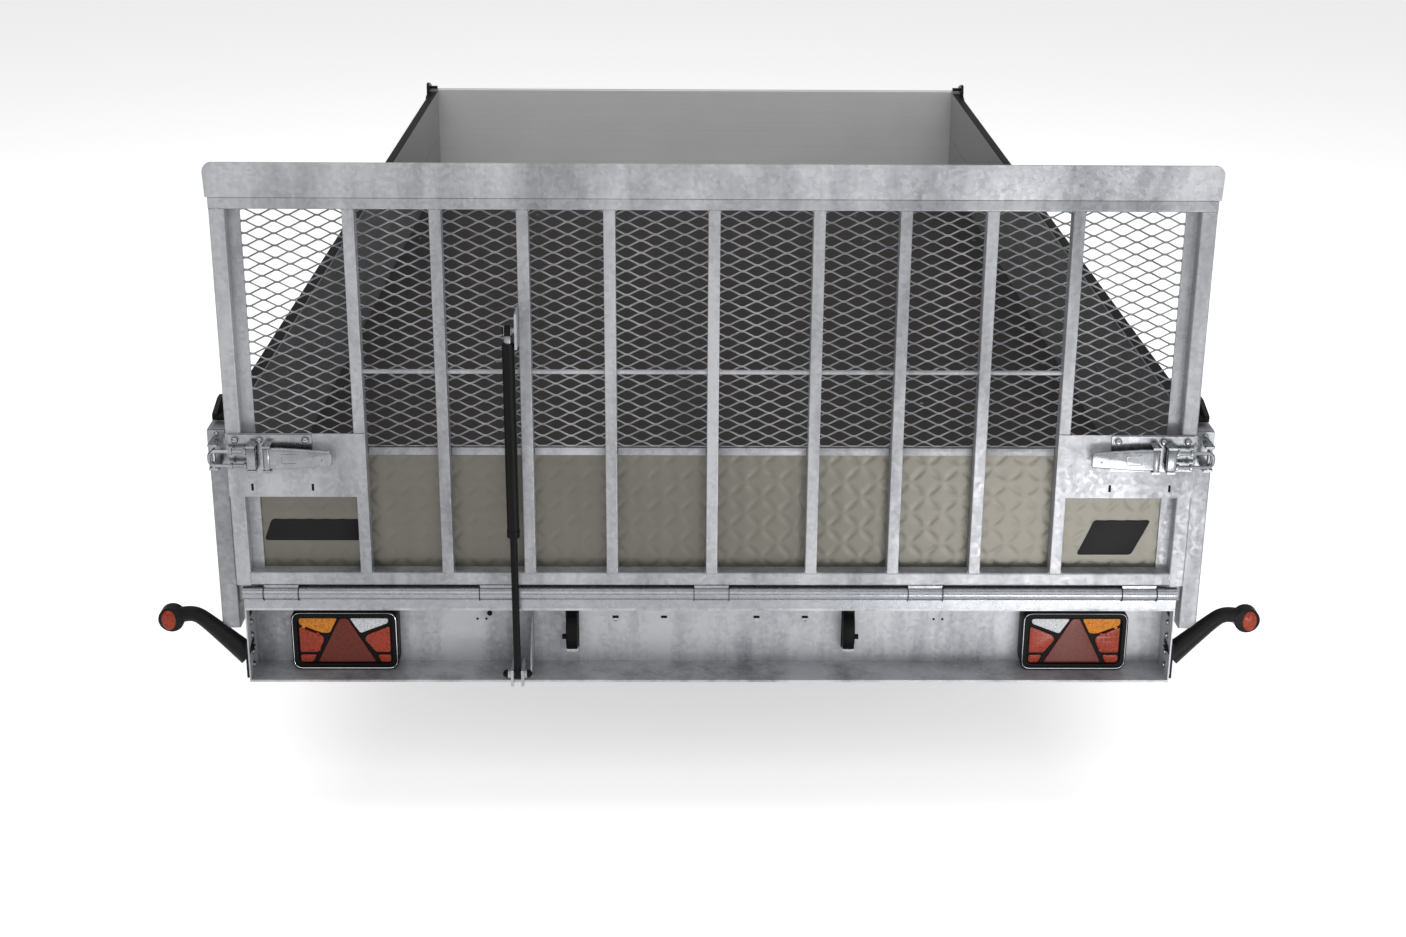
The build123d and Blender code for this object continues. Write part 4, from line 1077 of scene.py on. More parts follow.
class TRAILER_OT_hinge_joints(Operator):
    """Thin black discs between the hinge's knuckles: painted shade for the dark of the narrow openings
    between them
    """

    bl_idname = "trailer.hinge_joints"
    bl_label = "Hinge joints"

    def execute(self, context):
        low, high = node_box("ramp_knuckles")
        radius = (high.z - low.z) / 2 + 0.0001
        half = KNUCKLE_HALF
        # Each thin black disc is painted shade standing in the opening between two knuckles; its black
        # steel finish paints that shade.
        gap_shades = []
        for centre in (-(high.x - half), -KNUCKLE_PITCH, 0.0, KNUCKLE_PITCH, high.x - half):
            for side in (-1, 1):
                x = centre + side * (half + 0.0005)
                gap_shades.append(
                    add_rod((x - 0.0008, HINGE.y, HINGE.z), (x + 0.0008, HINGE.y, HINGE.z), radius, 32)
                )
        finish_piece(join(gap_shades), "hinge_gap_shades", "chassis", "black_steel")
        return {"FINISHED"}


class TRAILER_OT_blank_labels(Operator):
    """Blank label plates on the tread plate, with nothing written on them"""

    bl_idname = "trailer.blank_labels"
    bl_label = "Blank labels"

    def execute(self, context):
        y = node_box("chequer_plate")[1].y - PLATE_DEPTH + 0.0004
        shapes = (
            ("left_label", ((-0.982, 0.112), (-0.772, 0.112), (-0.772, 0.162), (-0.964, 0.162))),
            ("right_label", ((0.808, 0.080), (0.929, 0.080), (0.967, 0.162), (0.842, 0.162))),
        )
        for name, outline in shapes:
            place = facing_rear((0, y, HINGE.z))
            plate = add_plate(outline, 0.0009, place, 0.0002, 0.008)
            finish_piece(plate, name, "ramp", "label", "black_plastic")
        return {"FINISHED"}


class TRAILER_OT_ramp_latches(Operator):
    """Over-centre latches: pressed handles, threaded U-bolts and nuts"""

    bl_idname = "trailer.ramp_latches"
    bl_label = "Ramp latches"

    def execute(self, context):
        for name, side in SIDES:
            pivot = joint_place(f"latch_handle_{name}")
            claw = joint_place(f"latch_claw_{name}")
            low, high = node_box(f"latch_handle_{name}")
            reach = (high.x - low.x) - 0.011
            self.handle(name, side, pivot, low, reach)
            self.u_bolt(name, side, claw)
        return {"FINISHED"}

    def handle(self, name, side, pivot, low, reach):
        """The pressed lever, with its rolled edges, its recess and its knuckle."""
        tip = -side * (reach - 0.008)
        neck = -side * 0.034
        outline = (
            (side * 0.004, -0.0225), (neck, -0.0225), (tip, -0.0155), (tip, 0.0155), (neck, 0.0225),
            (side * 0.004, 0.0225),
        )
        front = low.y + 0.0042
        pieces = [
            add_plate(outline, 0.0045, facing_rear((pivot.x, front + 0.0045, pivot.z)), 0.0016, 0.008)
        ]
        for up in (-1, 1):
            rim = [(side * 0.002, 0, up * 0.0205), (neck, 0, up * 0.0205), (tip * 0.97, 0, up * 0.0138)]
            points = [Vector(point) + Vector((pivot.x, front + 0.0042, pivot.z)) for point in rim]
            pieces.append(add_path(points, 0.0040, 8))
        edge = [
            Vector((tip * 0.975, 0, z)) + Vector((pivot.x, front + 0.0042, pivot.z))
            for z in (-0.013, 0.013)
        ]
        pieces.append(add_path(edge, 0.0040, 8))
        recess = (-side * 0.030, -side * 0.064)
        outer = [(recess[0], -0.012), (recess[1], -0.0115), (recess[1], 0.0115), (recess[0], 0.012)]
        inner = [
            (x + (0.0022 if n in (0, 3) else -0.0022) * -side, z * 0.8) for n, (x, z) in enumerate(outer)
        ]
        pieces.append(
            add_plate(outer, 0.0014, facing_rear((pivot.x, front, pivot.z)), 0.0004, 0.002, hole=inner)
        )
        for x, z in ((-0.100, 0.004), (-0.118, -0.004)):
            pieces.append(add_dome((pivot.x - side * -x, front, pivot.z + z), 0.0026, (1, 0.5, 1), 10, 6))
        pieces.append(
            add_rod(
                (pivot.x, pivot.y, pivot.z - 0.0242),
                (pivot.x, pivot.y, pivot.z + 0.0242),
                0.0082,
                24,
                bevel=0.001,
            ),
        )
        for up in (-1, 1):
            pieces.append(
                add_block(
                    (pivot.x - side * 0.032, front + 0.003, pivot.z + up * 0.0205),
                    (pivot.x + side * 0.004, pivot.y + 0.004, pivot.z + up * 0.0235),
                    0.001,
                ),
            )
        node = f"latch_handle_{name}"
        finish_piece(join(pieces), f"pressed_handle_{name}", node, "bright_zinc", replaces=(node,))

    def u_bolt(self, name, side, claw):
        """The bolt that reaches over the post, with its threads, nuts and turning block."""
        low, high = node_box(f"latch_claw_{name}")
        far = (high.x if side > 0 else low.x) - side * 0.005
        y = claw.y
        arm = 0.016
        bend = 0.012
        points = [
            Vector((claw.x - side * 0.010, y, claw.z - arm)), Vector((far - side * bend, y, claw.z - arm))
        ]
        for step in range(1, 7):
            angle = step / 6 * pi / 2
            points.append(
                Vector((far - side * bend * (1 - sin(angle)), y, claw.z - arm + bend * (1 - cos(angle))))
            )
        points += [Vector((p.x, p.y, 2 * claw.z - p.z)) for p in reversed(points)]
        pieces = [add_path(points, 0.0040, 10)]
        for up in (-1, 1):
            z = claw.z + up * arm
            for n in range(12):
                x = claw.x + side * (0.014 + n * 0.0022)
                pieces.append(add_rod((x, y, z), (x + 0.0012, y, z), 0.0045, 12))
            for x in (0.010, 0.040):
                nut = add_rod(
                    (claw.x + side * x, y, z),
                    (claw.x + side * (x + 0.006), y, z),
                    0.0078,
                    6,
                    bevel=0.0006,
                )
                pieces.append(nut)
        pieces.append(
            add_block(
                (claw.x - 0.0095, y - 0.007, claw.z - 0.0235),
                (claw.x + 0.0095, y + 0.007, claw.z + 0.0235),
                0.002,
            ),
        )
        node = f"latch_claw_{name}"
        finish_piece(join(pieces), f"u_bolt_{name}", node, "bright_zinc", replaces=(node,))


class TRAILER_OT_latch_trim(Operator):
    """Rivets and pin heads of the ramp's latches, and rivets on their keepers"""

    bl_idname = "trailer.latch_trim"
    bl_label = "Latch trim"

    def execute(self, context):
        base_high = node_box("latch_bases")[1]
        rivets = []
        top = base_high.z - 0.012
        plate = base_high.y - 0.0045
        for name, side in SIDES:
            pivot = joint_place(f"latch_handle_{name}")
            claw = joint_place(f"latch_claw_{name}")
            for x in (0.872, 0.970, 1.022):
                rivets.append(add_dome((side * x, plate - 0.004, top), 0.0078, (1, 0.42, 1)))
                rivets.append(
                    add_rod((side * x, plate + 0.001, top), (side * x, plate - 0.0016, top), 0.0098, 20)
                )
            for place in (pivot, claw):
                for up in (-1, 1):
                    rivets.append(
                        add_dome((place.x, place.y, place.z + up * 0.0305), 0.0062, (1, 1, 0.35), 14, 6)
                    )
            keeper_high = node_box("latch_keepers")[1]
            x = side * (keeper_high.x - 0.020)
            y = keeper_high.y - 0.004
            for up in (-1, 1):
                z = pivot.z + up * 0.037
                rivets.append(add_dome((x, y - 0.001, z), 0.0055, (1, 0.5, 1), 14, 6))
        finish_piece(join(rivets), "latch_rivets", "ramp", "bright_zinc")
        # Black blocks in the latch plates' slot openings: painted shade for the dark seen through them.
        slot_shades = []
        for side in (-1, 1):
            for x in (0.862, 0.992):
                slot_shades.append(
                    add_block(
                        (side * x - 0.0026, HINGE.y - 0.0073, HINGE.z + 0.243),
                        (side * x + 0.0026, HINGE.y - 0.0066, HINGE.z + 0.259),
                        0.0003,
                    ),
                )
        finish_piece(join(slot_shades), "latch_plate_slot_shades", "ramp", "black_plastic")
        return {"FINISHED"}


# --- Lamps -----------------------------------------------------------------------------------------

# Panes of a tail lamp as shares of the lens window; the first number runs towards the trailer's
# outer side and the second one up.
LAMP_PANES = {
    "amber_lens": (((0.487, 0.485), (0.075, 0.485), (0.160, 0.165), (0.245, 0.165), (0.487, 0.355)),),
    "clear_lens": (((-0.060, 0.485), (-0.472, 0.485), (-0.472, 0.385), (-0.170, 0.160)),),
    "triangle_lens": (((0.045, 0.485), (-0.035, 0.485), (-0.325, -0.480), (0.300, -0.480)),),
    "red_lens": (
        ((0.487, 0.295), (0.240, 0.095), (0.225, 0.020), (0.290, -0.260), (0.487, -0.260)),
        ((-0.240, 0.120), (-0.487, 0.310), (-0.487, -0.260), (-0.330, -0.260), (-0.215, 0.020)),
        ((0.487, -0.320), (0.315, -0.320), (0.355, -0.480), (0.487, -0.480)),
        ((-0.345, -0.320), (-0.487, -0.320), (-0.487, -0.480), (-0.385, -0.480)),
    ),
}
LAMP_DOTS = {"amber_lens": (0.16, 0.44, 0.30, 0.43, 5, 3), "red_lens": (0.29, 0.45, -0.20, 0.14, 4, 4)}


class TRAILER_OT_tail_lamps(Operator):
    """Tail lamps: moulded frames, bright rims, coloured panes and their light dots"""

    bl_idname = "trailer.tail_lamps"
    bl_label = "Tail lamps"

    def execute(self, context):
        low, high = node_box("lamp_housings")
        wide, tall, deep = LAMP_WIDTH, LAMP_HEIGHT, high.y - low.y
        back = high.y
        middle_x = high.x - wide / 2
        middle_z = low.z + tall / 2
        window = Vector((wide - 0.030, tall - 0.030))
        frames, rims, sockets = [], [], []
        panes = {name: [] for name in LAMP_PANES}
        for name, side in SIDES:
            centre = Vector((side * middle_x, back, middle_z))
            half = Vector((wide / 2, tall / 2))
            corners = [(-half.x, -half.y), (half.x, -half.y), (half.x, half.y), (-half.x, half.y)]
            frames.append(add_plate(corners, deep - 0.006, facing_rear(centre), 0.003, 0.022))
            ring_place = facing_rear(centre + Vector((0, -deep + 0.007, 0)))
            hole = [(x * 0.885, z * 0.80) for x, z in corners]
            frames.append(add_plate(corners, 0.007, ring_place, 0.002, 0.022, round_corners(hole, 0.014)))
            rim = round_corners([(x * 0.975, z * 0.955) for x, z in corners], 0.020, 6)
            path = [ring_place @ Vector((point.x, point.y, 0.0068)) for point in rim]
            rims.append(add_path(path, 0.0008, 6, cyclic=True))
            for material, outlines in LAMP_PANES.items():
                for outline in outlines:
                    points = [(side * u * window.x, v * window.y) for u, v in outline]
                    place = facing_rear(centre + Vector((0, -deep + 0.0068, 0)))
                    panes[material].append(add_plate(points, 0.0040, place, 0.0008, 0.005))
            for material, (u_low, u_high, v_low, v_high, columns, rows) in LAMP_DOTS.items():
                for column in range(columns):
                    for row in range(rows):
                        u = u_low + (u_high - u_low) * column / (columns - 1)
                        v = v_low + (v_high - v_low) * row / (rows - 1)
                        place = centre + Vector((side * u * window.x, -deep + 0.0030, v * window.y))
                        panes[material].append(add_dome(place, 0.0042, (1, 0.35, 1), 10, 6))
            cable = (side * middle_x, back, middle_z + 0.03)
            sockets.append(add_rod(cable, (cable[0], cable[1] - 0.002, cable[2]), 0.01, 16))
        for name, pieces in panes.items():
            finish_piece(join(pieces), name.replace("_lens", "_panes"), "chassis", name, "red_lens")
        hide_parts("lamp_lenses")
        finish_piece(
            join(frames + sockets),
            "tail_lamp_frames",
            "chassis",
            "black_plastic",
            replaces=("lamp_housings",),
        )
        finish_piece(join(rims), "tail_lamp_rims", "chassis", "bright_rim", "bright_zinc")
        return {"FINISHED"}


class TRAILER_OT_plate_lamps(Operator):
    """Number-plate lamps on the rear channel"""

    bl_idname = "trailer.plate_lamps"
    bl_label = "Plate lamps"

    def execute(self, context):
        back = node_box("rear_channel")[1].y - CHANNEL_WALL
        middle_z = HINGE.z - PLATE_LAMP_DROP
        bodies, glasses = [], []
        profile = (
            (0.0, 0.047), (-0.030, 0.044), (-0.046, 0.022), (-0.046, -0.014), (-0.034, -0.040),
            (0.0, -0.047),
        )
        for _, side in SIDES:
            x = side * PLATE_LAMP_SIDE
            place = facing_side((x - 0.013, back, middle_z))
            bodies.append(add_plate(profile, 0.026, place, 0.004, 0.010))
            bodies.append(
                add_block(
                    (x - 0.015, back - 0.003, middle_z - 0.047),
                    (x + 0.015, back, middle_z + 0.047),
                    0.001,
                ),
            )
            nub = (x + side * 0.012, back - 0.030, middle_z - 0.007)
            bodies.append(add_rod(nub, (nub[0] + side * 0.010, nub[1], nub[2]), 0.006, 20, bevel=0.001))
            for up in (-1, 1):
                screw = (x, back - 0.0035, middle_z + up * 0.0425)
                bodies.append(add_dome(screw, 0.004, (1, 0.5, 1), 12, 6))
            glasses.append(
                add_block(
                    (x - 0.0135, back - 0.034, middle_z - 0.044),
                    (x + 0.0135, back - 0.008, middle_z - 0.036),
                    0.002,
                ),
            )
        finish_piece(join(bodies), "plate_lamps", "chassis", "black_plastic")
        finish_piece(join(glasses), "plate_lamp_glasses", "chassis", "clear_lens", "red_lens")
        return {"FINISHED"}


class TRAILER_OT_marker_lamps(Operator):
    """Outline markers on bent rubber arms"""

    bl_idname = "trailer.marker_lamps"
    bl_label = "Marker lamps"

    def execute(self, context):
        high = node_box("marker_arms")[1]
        channel = node_box("rear_channel")[1].x
        middle_y = HINGE.y + 0.024
        lamp_z = HINGE.z - 0.070
        root_z = HINGE.z - 0.165
        arms, reds, clears = [], [], []
        for _, side in SIDES:
            points = (
                (channel + 0.004, middle_y, root_z + 0.006),
                (channel + 0.014, middle_y, root_z + 0.014),
                (channel + 0.060, middle_y, root_z + 0.058),
                (channel + 0.092, middle_y, root_z + 0.088),
                (channel + 0.112, middle_y, lamp_z + 0.008),
                (channel + 0.136, middle_y, lamp_z + 0.010),
                (high.x - 0.030, middle_y, lamp_z + 0.002),
            )
            radii = (1.75, 1.6, 1.35, 1.2, 1.15, 1.15, 1.2)
            arm = [(side * x, y, z) for x, y, z in points]
            arms.append(add_path(arm, 0.0148, 16, radii, "NURBS"))
            arms.append(
                add_block(
                    (side * (channel + 0.0002), middle_y - 0.026, root_z - 0.042),
                    (side * (channel + 0.0058), middle_y + 0.026, root_z + 0.042),
                    0.0015,
                ),
            )
            lamp_x = side * 1.197
            lens_x = lamp_x + side * 0.005
            section = (
                (-0.0165, 0.0), (-0.0165, 0.0255), (-0.0145, 0.0285), (0.0145, 0.0285), (0.0165, 0.0255),
                (0.0165, 0.0),
            )
            arms.append(add_lathe(section, (lamp_x, middle_y, lamp_z), (0, 1, 0), 40))
            for facing, group in ((-1, reds), (1, clears)):
                y = middle_y + facing * 0.0165
                group.append(add_dome((lens_x, y, lamp_z), 0.0235, (0.68, 0.19, 1), 28, 12))
                for n in range(6):
                    angle = n * tau / 6
                    spot = (lens_x + 0.008 * cos(angle), y + facing * 0.0035, lamp_z + 0.012 * sin(angle))
                    group.append(add_dome(spot, 0.0036, (1, 0.35, 1), 10, 6))
        finish_piece(
            join(arms), "marker_arms_rubber", "chassis", "black_rubber", replaces=("marker_arms",)
        )
        finish_piece(join(reds), "marker_lens_red", "chassis", "red_lens")
        finish_piece(join(clears), "marker_lens_clear", "chassis", "clear_lens", "red_lens")
        return {"FINISHED"}


# --- Strut and channel -----------------------------------------------------------------------------


class TRAILER_OT_strut_trim(Operator):
    """Collars, knobs and gusset of the gas strut"""

    bl_idname = "trailer.strut_trim"
    bl_label = "Strut trim"

    def execute(self, context):
        foot = joint_place("strut_swing")
        top = Vector((foot.x, HINGE.y - STRUT_TOP_BACK, HINGE.z + STRUT_TOP_HEIGHT))
        up = (top - foot).normalized()
        length = (top - foot).length
        barrel_end = length - BARREL_START - BARREL_LENGTH
        collar = [
            add_rod(
                foot + up * (barrel_end - 0.002),
                foot + up * (barrel_end + 0.016),
                0.0145,
                28,
                bevel=0.0015,
            ),
            add_rod(
                foot + up * (length - 0.046), foot + up * (length - 0.034), 0.0132, 28, 0.009, bevel=0.001
            ),
        ]
        finish_piece(join(collar), "barrel_collars", "strut_cylinder", "black_steel")
        fitting = [
            add_rod(foot + up * (length - 0.035), foot + up * (length - 0.008), 0.0098, 24, bevel=0.001),
            add_rod(top - Vector((0.0082, 0, 0)), top + Vector((0.0082, 0, 0)), 0.0130, 28, bevel=0.001),
            add_rod(foot + up * (length - 0.034), foot + up * (length - 0.026), 0.0122, 6, bevel=0.001),
        ]
        finish_piece(join(fitting), "strut_eye", "strut_cylinder", "bright_zinc")
        knobs = [
            add_dome((foot.x + side * 0.0235, foot.y, foot.z), 0.0095, (0.95, 1, 1), 20, 10)
            for side in (-1, 1)
        ]
        finish_piece(join(knobs), "strut_knobs", "chassis", "black_plastic")
        channel_low, channel_high = node_box("rear_channel")
        web = channel_high.y - CHANNEL_WALL
        outline = (
            (web - 0.0002, foot.z + 0.012),
            (web - 0.0002, foot.z + 0.115),
            (web - 0.010, foot.z + 0.115),
            (channel_low.y + 0.010, foot.z + 0.020),
            (channel_low.y + 0.010, channel_low.z + 0.0052),
            (web - 0.0002, channel_low.z + 0.0052),
        )
        gusset = add_plate(outline, 0.004, facing_side((foot.x + 0.026, 0, 0)), 0.0008)
        finish_piece(gusset, "channel_gusset", "chassis", "galvanised_steel")
        return {"FINISHED"}


class TRAILER_OT_channel_trim(Operator):
    """Bolts and plugs of the rear channel's ends and web, with a black block in each slot opening as
    painted shade
    """

    bl_idname = "trailer.channel_trim"
    bl_label = "Channel trim"

    def execute(self, context):
        low, high = node_box("rear_channel")
        web = high.y - CHANNEL_WALL
        bolts, darks = [], []
        for _, side in SIDES:
            inside = side * (high.x - 0.0031)
            for z in (0.028, 0.060, 0.100, 0.132):
                head = (inside, low.y + 0.036, low.z + z)
                bolts.append(
                    add_rod(head, (head[0] - side * 0.005, head[1], head[2]), 0.0065, 6, bevel=0.0008)
                )
                bolts.append(add_rod(head, (head[0] - side * 0.0012, head[1], head[2]), 0.0085, 20))
            # Black blocks in the end plates' slot openings: painted shade.
            for z in (0.074, 0.146):
                darks.append(
                    add_block(
                        (inside, low.y + 0.030, low.z + z),
                        (inside - side * 0.0012, low.y + 0.056, low.z + z + 0.012),
                        0.0004,
                    ),
                )
            darks.append(
                add_rod(
                    (side * (high.x - 0.030), web, high.z - 0.013),
                    (side * (high.x - 0.030), web - 0.002, high.z - 0.013),
                    0.006,
                    20,
                ),
            )
            for x in (0.528, 0.508):
                spot = (side * x, web, HINGE.z - 0.107)
                darks.append(add_rod(spot, (spot[0], web - 0.0008, spot[2]), 0.0028, 16))
            # Black blocks in the web's slot openings: painted shade.
            for x in (0.215, 0.105):
                slot = (side * x, web, HINGE.z - 0.102)
                darks.append(
                    add_block(
                        (slot[0] - 0.007, web - 0.0008, slot[2] - 0.003),
                        (slot[0] + 0.007, web, slot[2] + 0.003),
                        0.0003,
                    ),
                )
        grommet = (-0.500, web, HINGE.z - 0.093)
        darks.append(add_rod(grommet, (grommet[0], web - 0.0025, grommet[2]), 0.0062, 20, bevel=0.0008))
        finish_piece(join(bolts), "channel_bolts", "chassis", "bright_zinc")
        finish_piece(join(darks), "channel_plugs_and_slot_shades", "chassis", "black_plastic")
        return {"FINISHED"}


# --- Bed -------------------------------------------------------------------------------------------


class TRAILER_OT_bed_trim(Operator):
    """Floor screws, black end caps on the side boards, and a black strip along each side board's top that
    is partly a cap and partly painted reflection
    """

    bl_idname = "trailer.bed_trim"
    bl_label = "Bed trim"

    def execute(self, context):
        floor_low, floor_high = node_box("floor_panel")
        screws = []
        count = 12
        for n in range(count):
            y = floor_low.y + 0.06 + n * (floor_high.y - floor_low.y - 0.12) / (count - 1)
            for x in (-1.0, -0.6, 0.6, 1.0):
                screws.append(add_dome((x, y, floor_high.z), 0.006, (1, 1, 0.22), 12, 6))
        finish_piece(join(screws), "floor_screws", "chassis", "dark_steel", "bright_zinc")
        for name, side in SIDES:
            low, high = node_box(f"side_board_{name}")
            inner = low.x if side > 0 else high.x
            outer = inner + side * BOARD_THICKNESS
            # The black strip along the side board's top face is partly a cap strip and partly painted
            # reflection: it paints the dark band that the top face shows.
            trim = add_block(
                (inner + side * 0.001, low.y + 0.002, high.z - 0.0006),
                (outer - side * 0.001, high.y - 0.002, high.z + 0.0008),
                0.0006,
            )
            caps = [trim]
            for y, into in ((low.y, 1), (high.y, -1)):
                caps.append(
                    add_block(
                        (inner + side * 0.0006, y - into * 0.0004, low.z + 0.014),
                        (outer - side * 0.0006, y + into * 0.002, high.z - 0.001),
                        0.0005,
                    ),
                )
            finish_piece(join(caps), f"board_caps_and_painted_reflection_{name}", f"side_{name}", "black_plastic")
        return {"FINISHED"}


class TRAILER_OT_side_latch_trim(Operator):
    """Bosses on the black side latches"""

    bl_idname = "trailer.side_latch_trim"
    bl_label = "Side latch trim"

    def execute(self, context):
        for name, side in SIDES:
            for end in ("rear", "front"):
                node = f"side_latch_{end}_{name}"
                place = joint_place(node)
                low, high = node_box(node)
                outer = high.x if side > 0 else low.x
                pieces = [
                    add_rod(
                        (outer, place.y, place.z),
                        (outer + side * 0.0035, place.y, place.z),
                        0.013,
                        24,
                        bevel=0.001,
                    ),
                    add_dome((outer + side * 0.0035, place.y, place.z), 0.008, (0.35, 1, 1), 16, 8),
                ]
                finish_piece(join(pieces), f"{node}_boss", node, "black_steel")
        return {"FINISHED"}


# --- Wheels ----------------------------------------------------------------------------------------


class TRAILER_OT_tyres(Operator):
    """Tyres with a ribbed tread, shoulder blocks and bead lines"""

    bl_idname = "trailer.tyres"
    bl_label = "Tyres"

    def execute(self, context):
        lugs = context.scene.trailer_sizes.lug_count
        master = None
        for axle in ("front", "rear"):
            for name, _ in SIDES:
                low, high = node_box(f"tyre_{axle}_{name}")
                centre = (low + high) / 2
                if master is None:
                    master = self.model(lugs)
                tyre = copy_piece(master, centre)
                finish_piece(
                    tyre,
                    f"treaded_tyre_{axle}_{name}",
                    f"wheel_{axle}_{name}",
                    "tyre_rubber",
                    replaces=(f"tyre_{axle}_{name}",),
                    smooth=30,
                )
        bpy.data.objects.remove(master)
        return {"FINISHED"}

    def model(self, lugs):
        """One tyre about the X axis, standing at the origin."""
        half = [
            (0.0000, 0.2335), (0.0060, 0.2335), (0.0070, 0.2275), (0.0130, 0.2275), (0.0140, 0.2335),
            (0.0420, 0.2328), (0.0430, 0.2270), (0.0500, 0.2270), (0.0510, 0.2322), (0.0800, 0.2290),
            (0.0900, 0.2190), (0.0945, 0.2050), (0.0970, 0.1880), (0.0955, 0.1860), (0.0955, 0.1830),
            (0.0970, 0.1810), (0.0940, 0.1640), (0.0840, 0.1480), (0.0750, 0.1440), (0.0700, 0.1400),
            (0.0700, 0.1282), (0.0580, 0.1282), (0.0580, 0.1440), (0.0850, 0.1840), (0.0840, 0.2080),
            (0.0700, 0.2180),
        ]
        profile = half + [(-x, r) for x, r in reversed(half[1:])]
        tyre = add_lathe(profile, (0, 0, 0), (1, 0, 0), 3 * lugs)
        select_only(tyre)
        bpy.ops.object.mode_set(mode="EDIT")
        bpy.ops.mesh.select_all(action="DESELECT")
        bpy.ops.object.mode_set(mode="OBJECT")
        for face in tyre.data.polygons:
            middle = face.center
            radius = hypot(middle.y, middle.z)
            step = int((atan2(middle.z, middle.y) + pi) / tau * 3 * lugs)
            shoulder = abs(middle.x) > 0.052 and radius > 0.222
            face.select = shoulder and step % 3 == (0 if middle.x > 0 else 1)
        bpy.ops.object.mode_set(mode="EDIT")
        bpy.ops.mesh.select_mode(type="FACE")
        bpy.ops.mesh.inset(thickness=0.0022, depth=-0.0055, use_boundary=True)
        bpy.ops.mesh.select_mode(type="VERT")
        bpy.ops.object.mode_set(mode="OBJECT")
        return tyre


class TRAILER_OT_wheel_trim(Operator):
    """Hub caps, wheel nuts and valves"""

    bl_idname = "trailer.wheel_trim"
    bl_label = "Wheel trim"

    def execute(self, context):
        for axle in ("front", "rear"):
            for name, side in SIDES:
                place = joint_place(f"wheel_{axle}_{name}")
                hub = place.x + side * 0.026
                section = (
                    (-0.001, 0.0), (-0.001, 0.030), (0.016, 0.029), (0.022, 0.025), (0.026, 0.014),
                    (0.027, 0.0),
                )
                section = [(side * along, radius) for along, radius in section]
                pieces = [add_lathe(section, (hub, place.y, place.z), (1, 0, 0), 32)]
                for n in range(5):
                    angle = n * tau / 5
                    y, z = place.y + 0.056 * cos(angle), place.z + 0.056 * sin(angle)
                    start = (place.x + side * 0.034, y, z)
                    pieces.append(add_rod(start, (start[0] + side * 0.011, y, z), 0.0105, 6, bevel=0.001))
                    pieces.append(add_dome((start[0] + side * 0.011, y, z), 0.0075, (0.5, 1, 1), 12, 6))
                finish_piece(
                    join(pieces), f"hub_cap_{axle}_{name}", f"wheel_{axle}_{name}", "bright_zinc"
                )
                valve = add_rod(
                    (place.x + side * 0.022, place.y, place.z + 0.100),
                    (place.x + side * 0.052, place.y, place.z + 0.094),
                    0.004,
                    14,
                    0.003,
                )
                finish_piece(valve, f"valve_{axle}_{name}", f"wheel_{axle}_{name}", "black_rubber")
        return {"FINISHED"}


# --- Drawbar ---------------------------------------------------------------------------------------


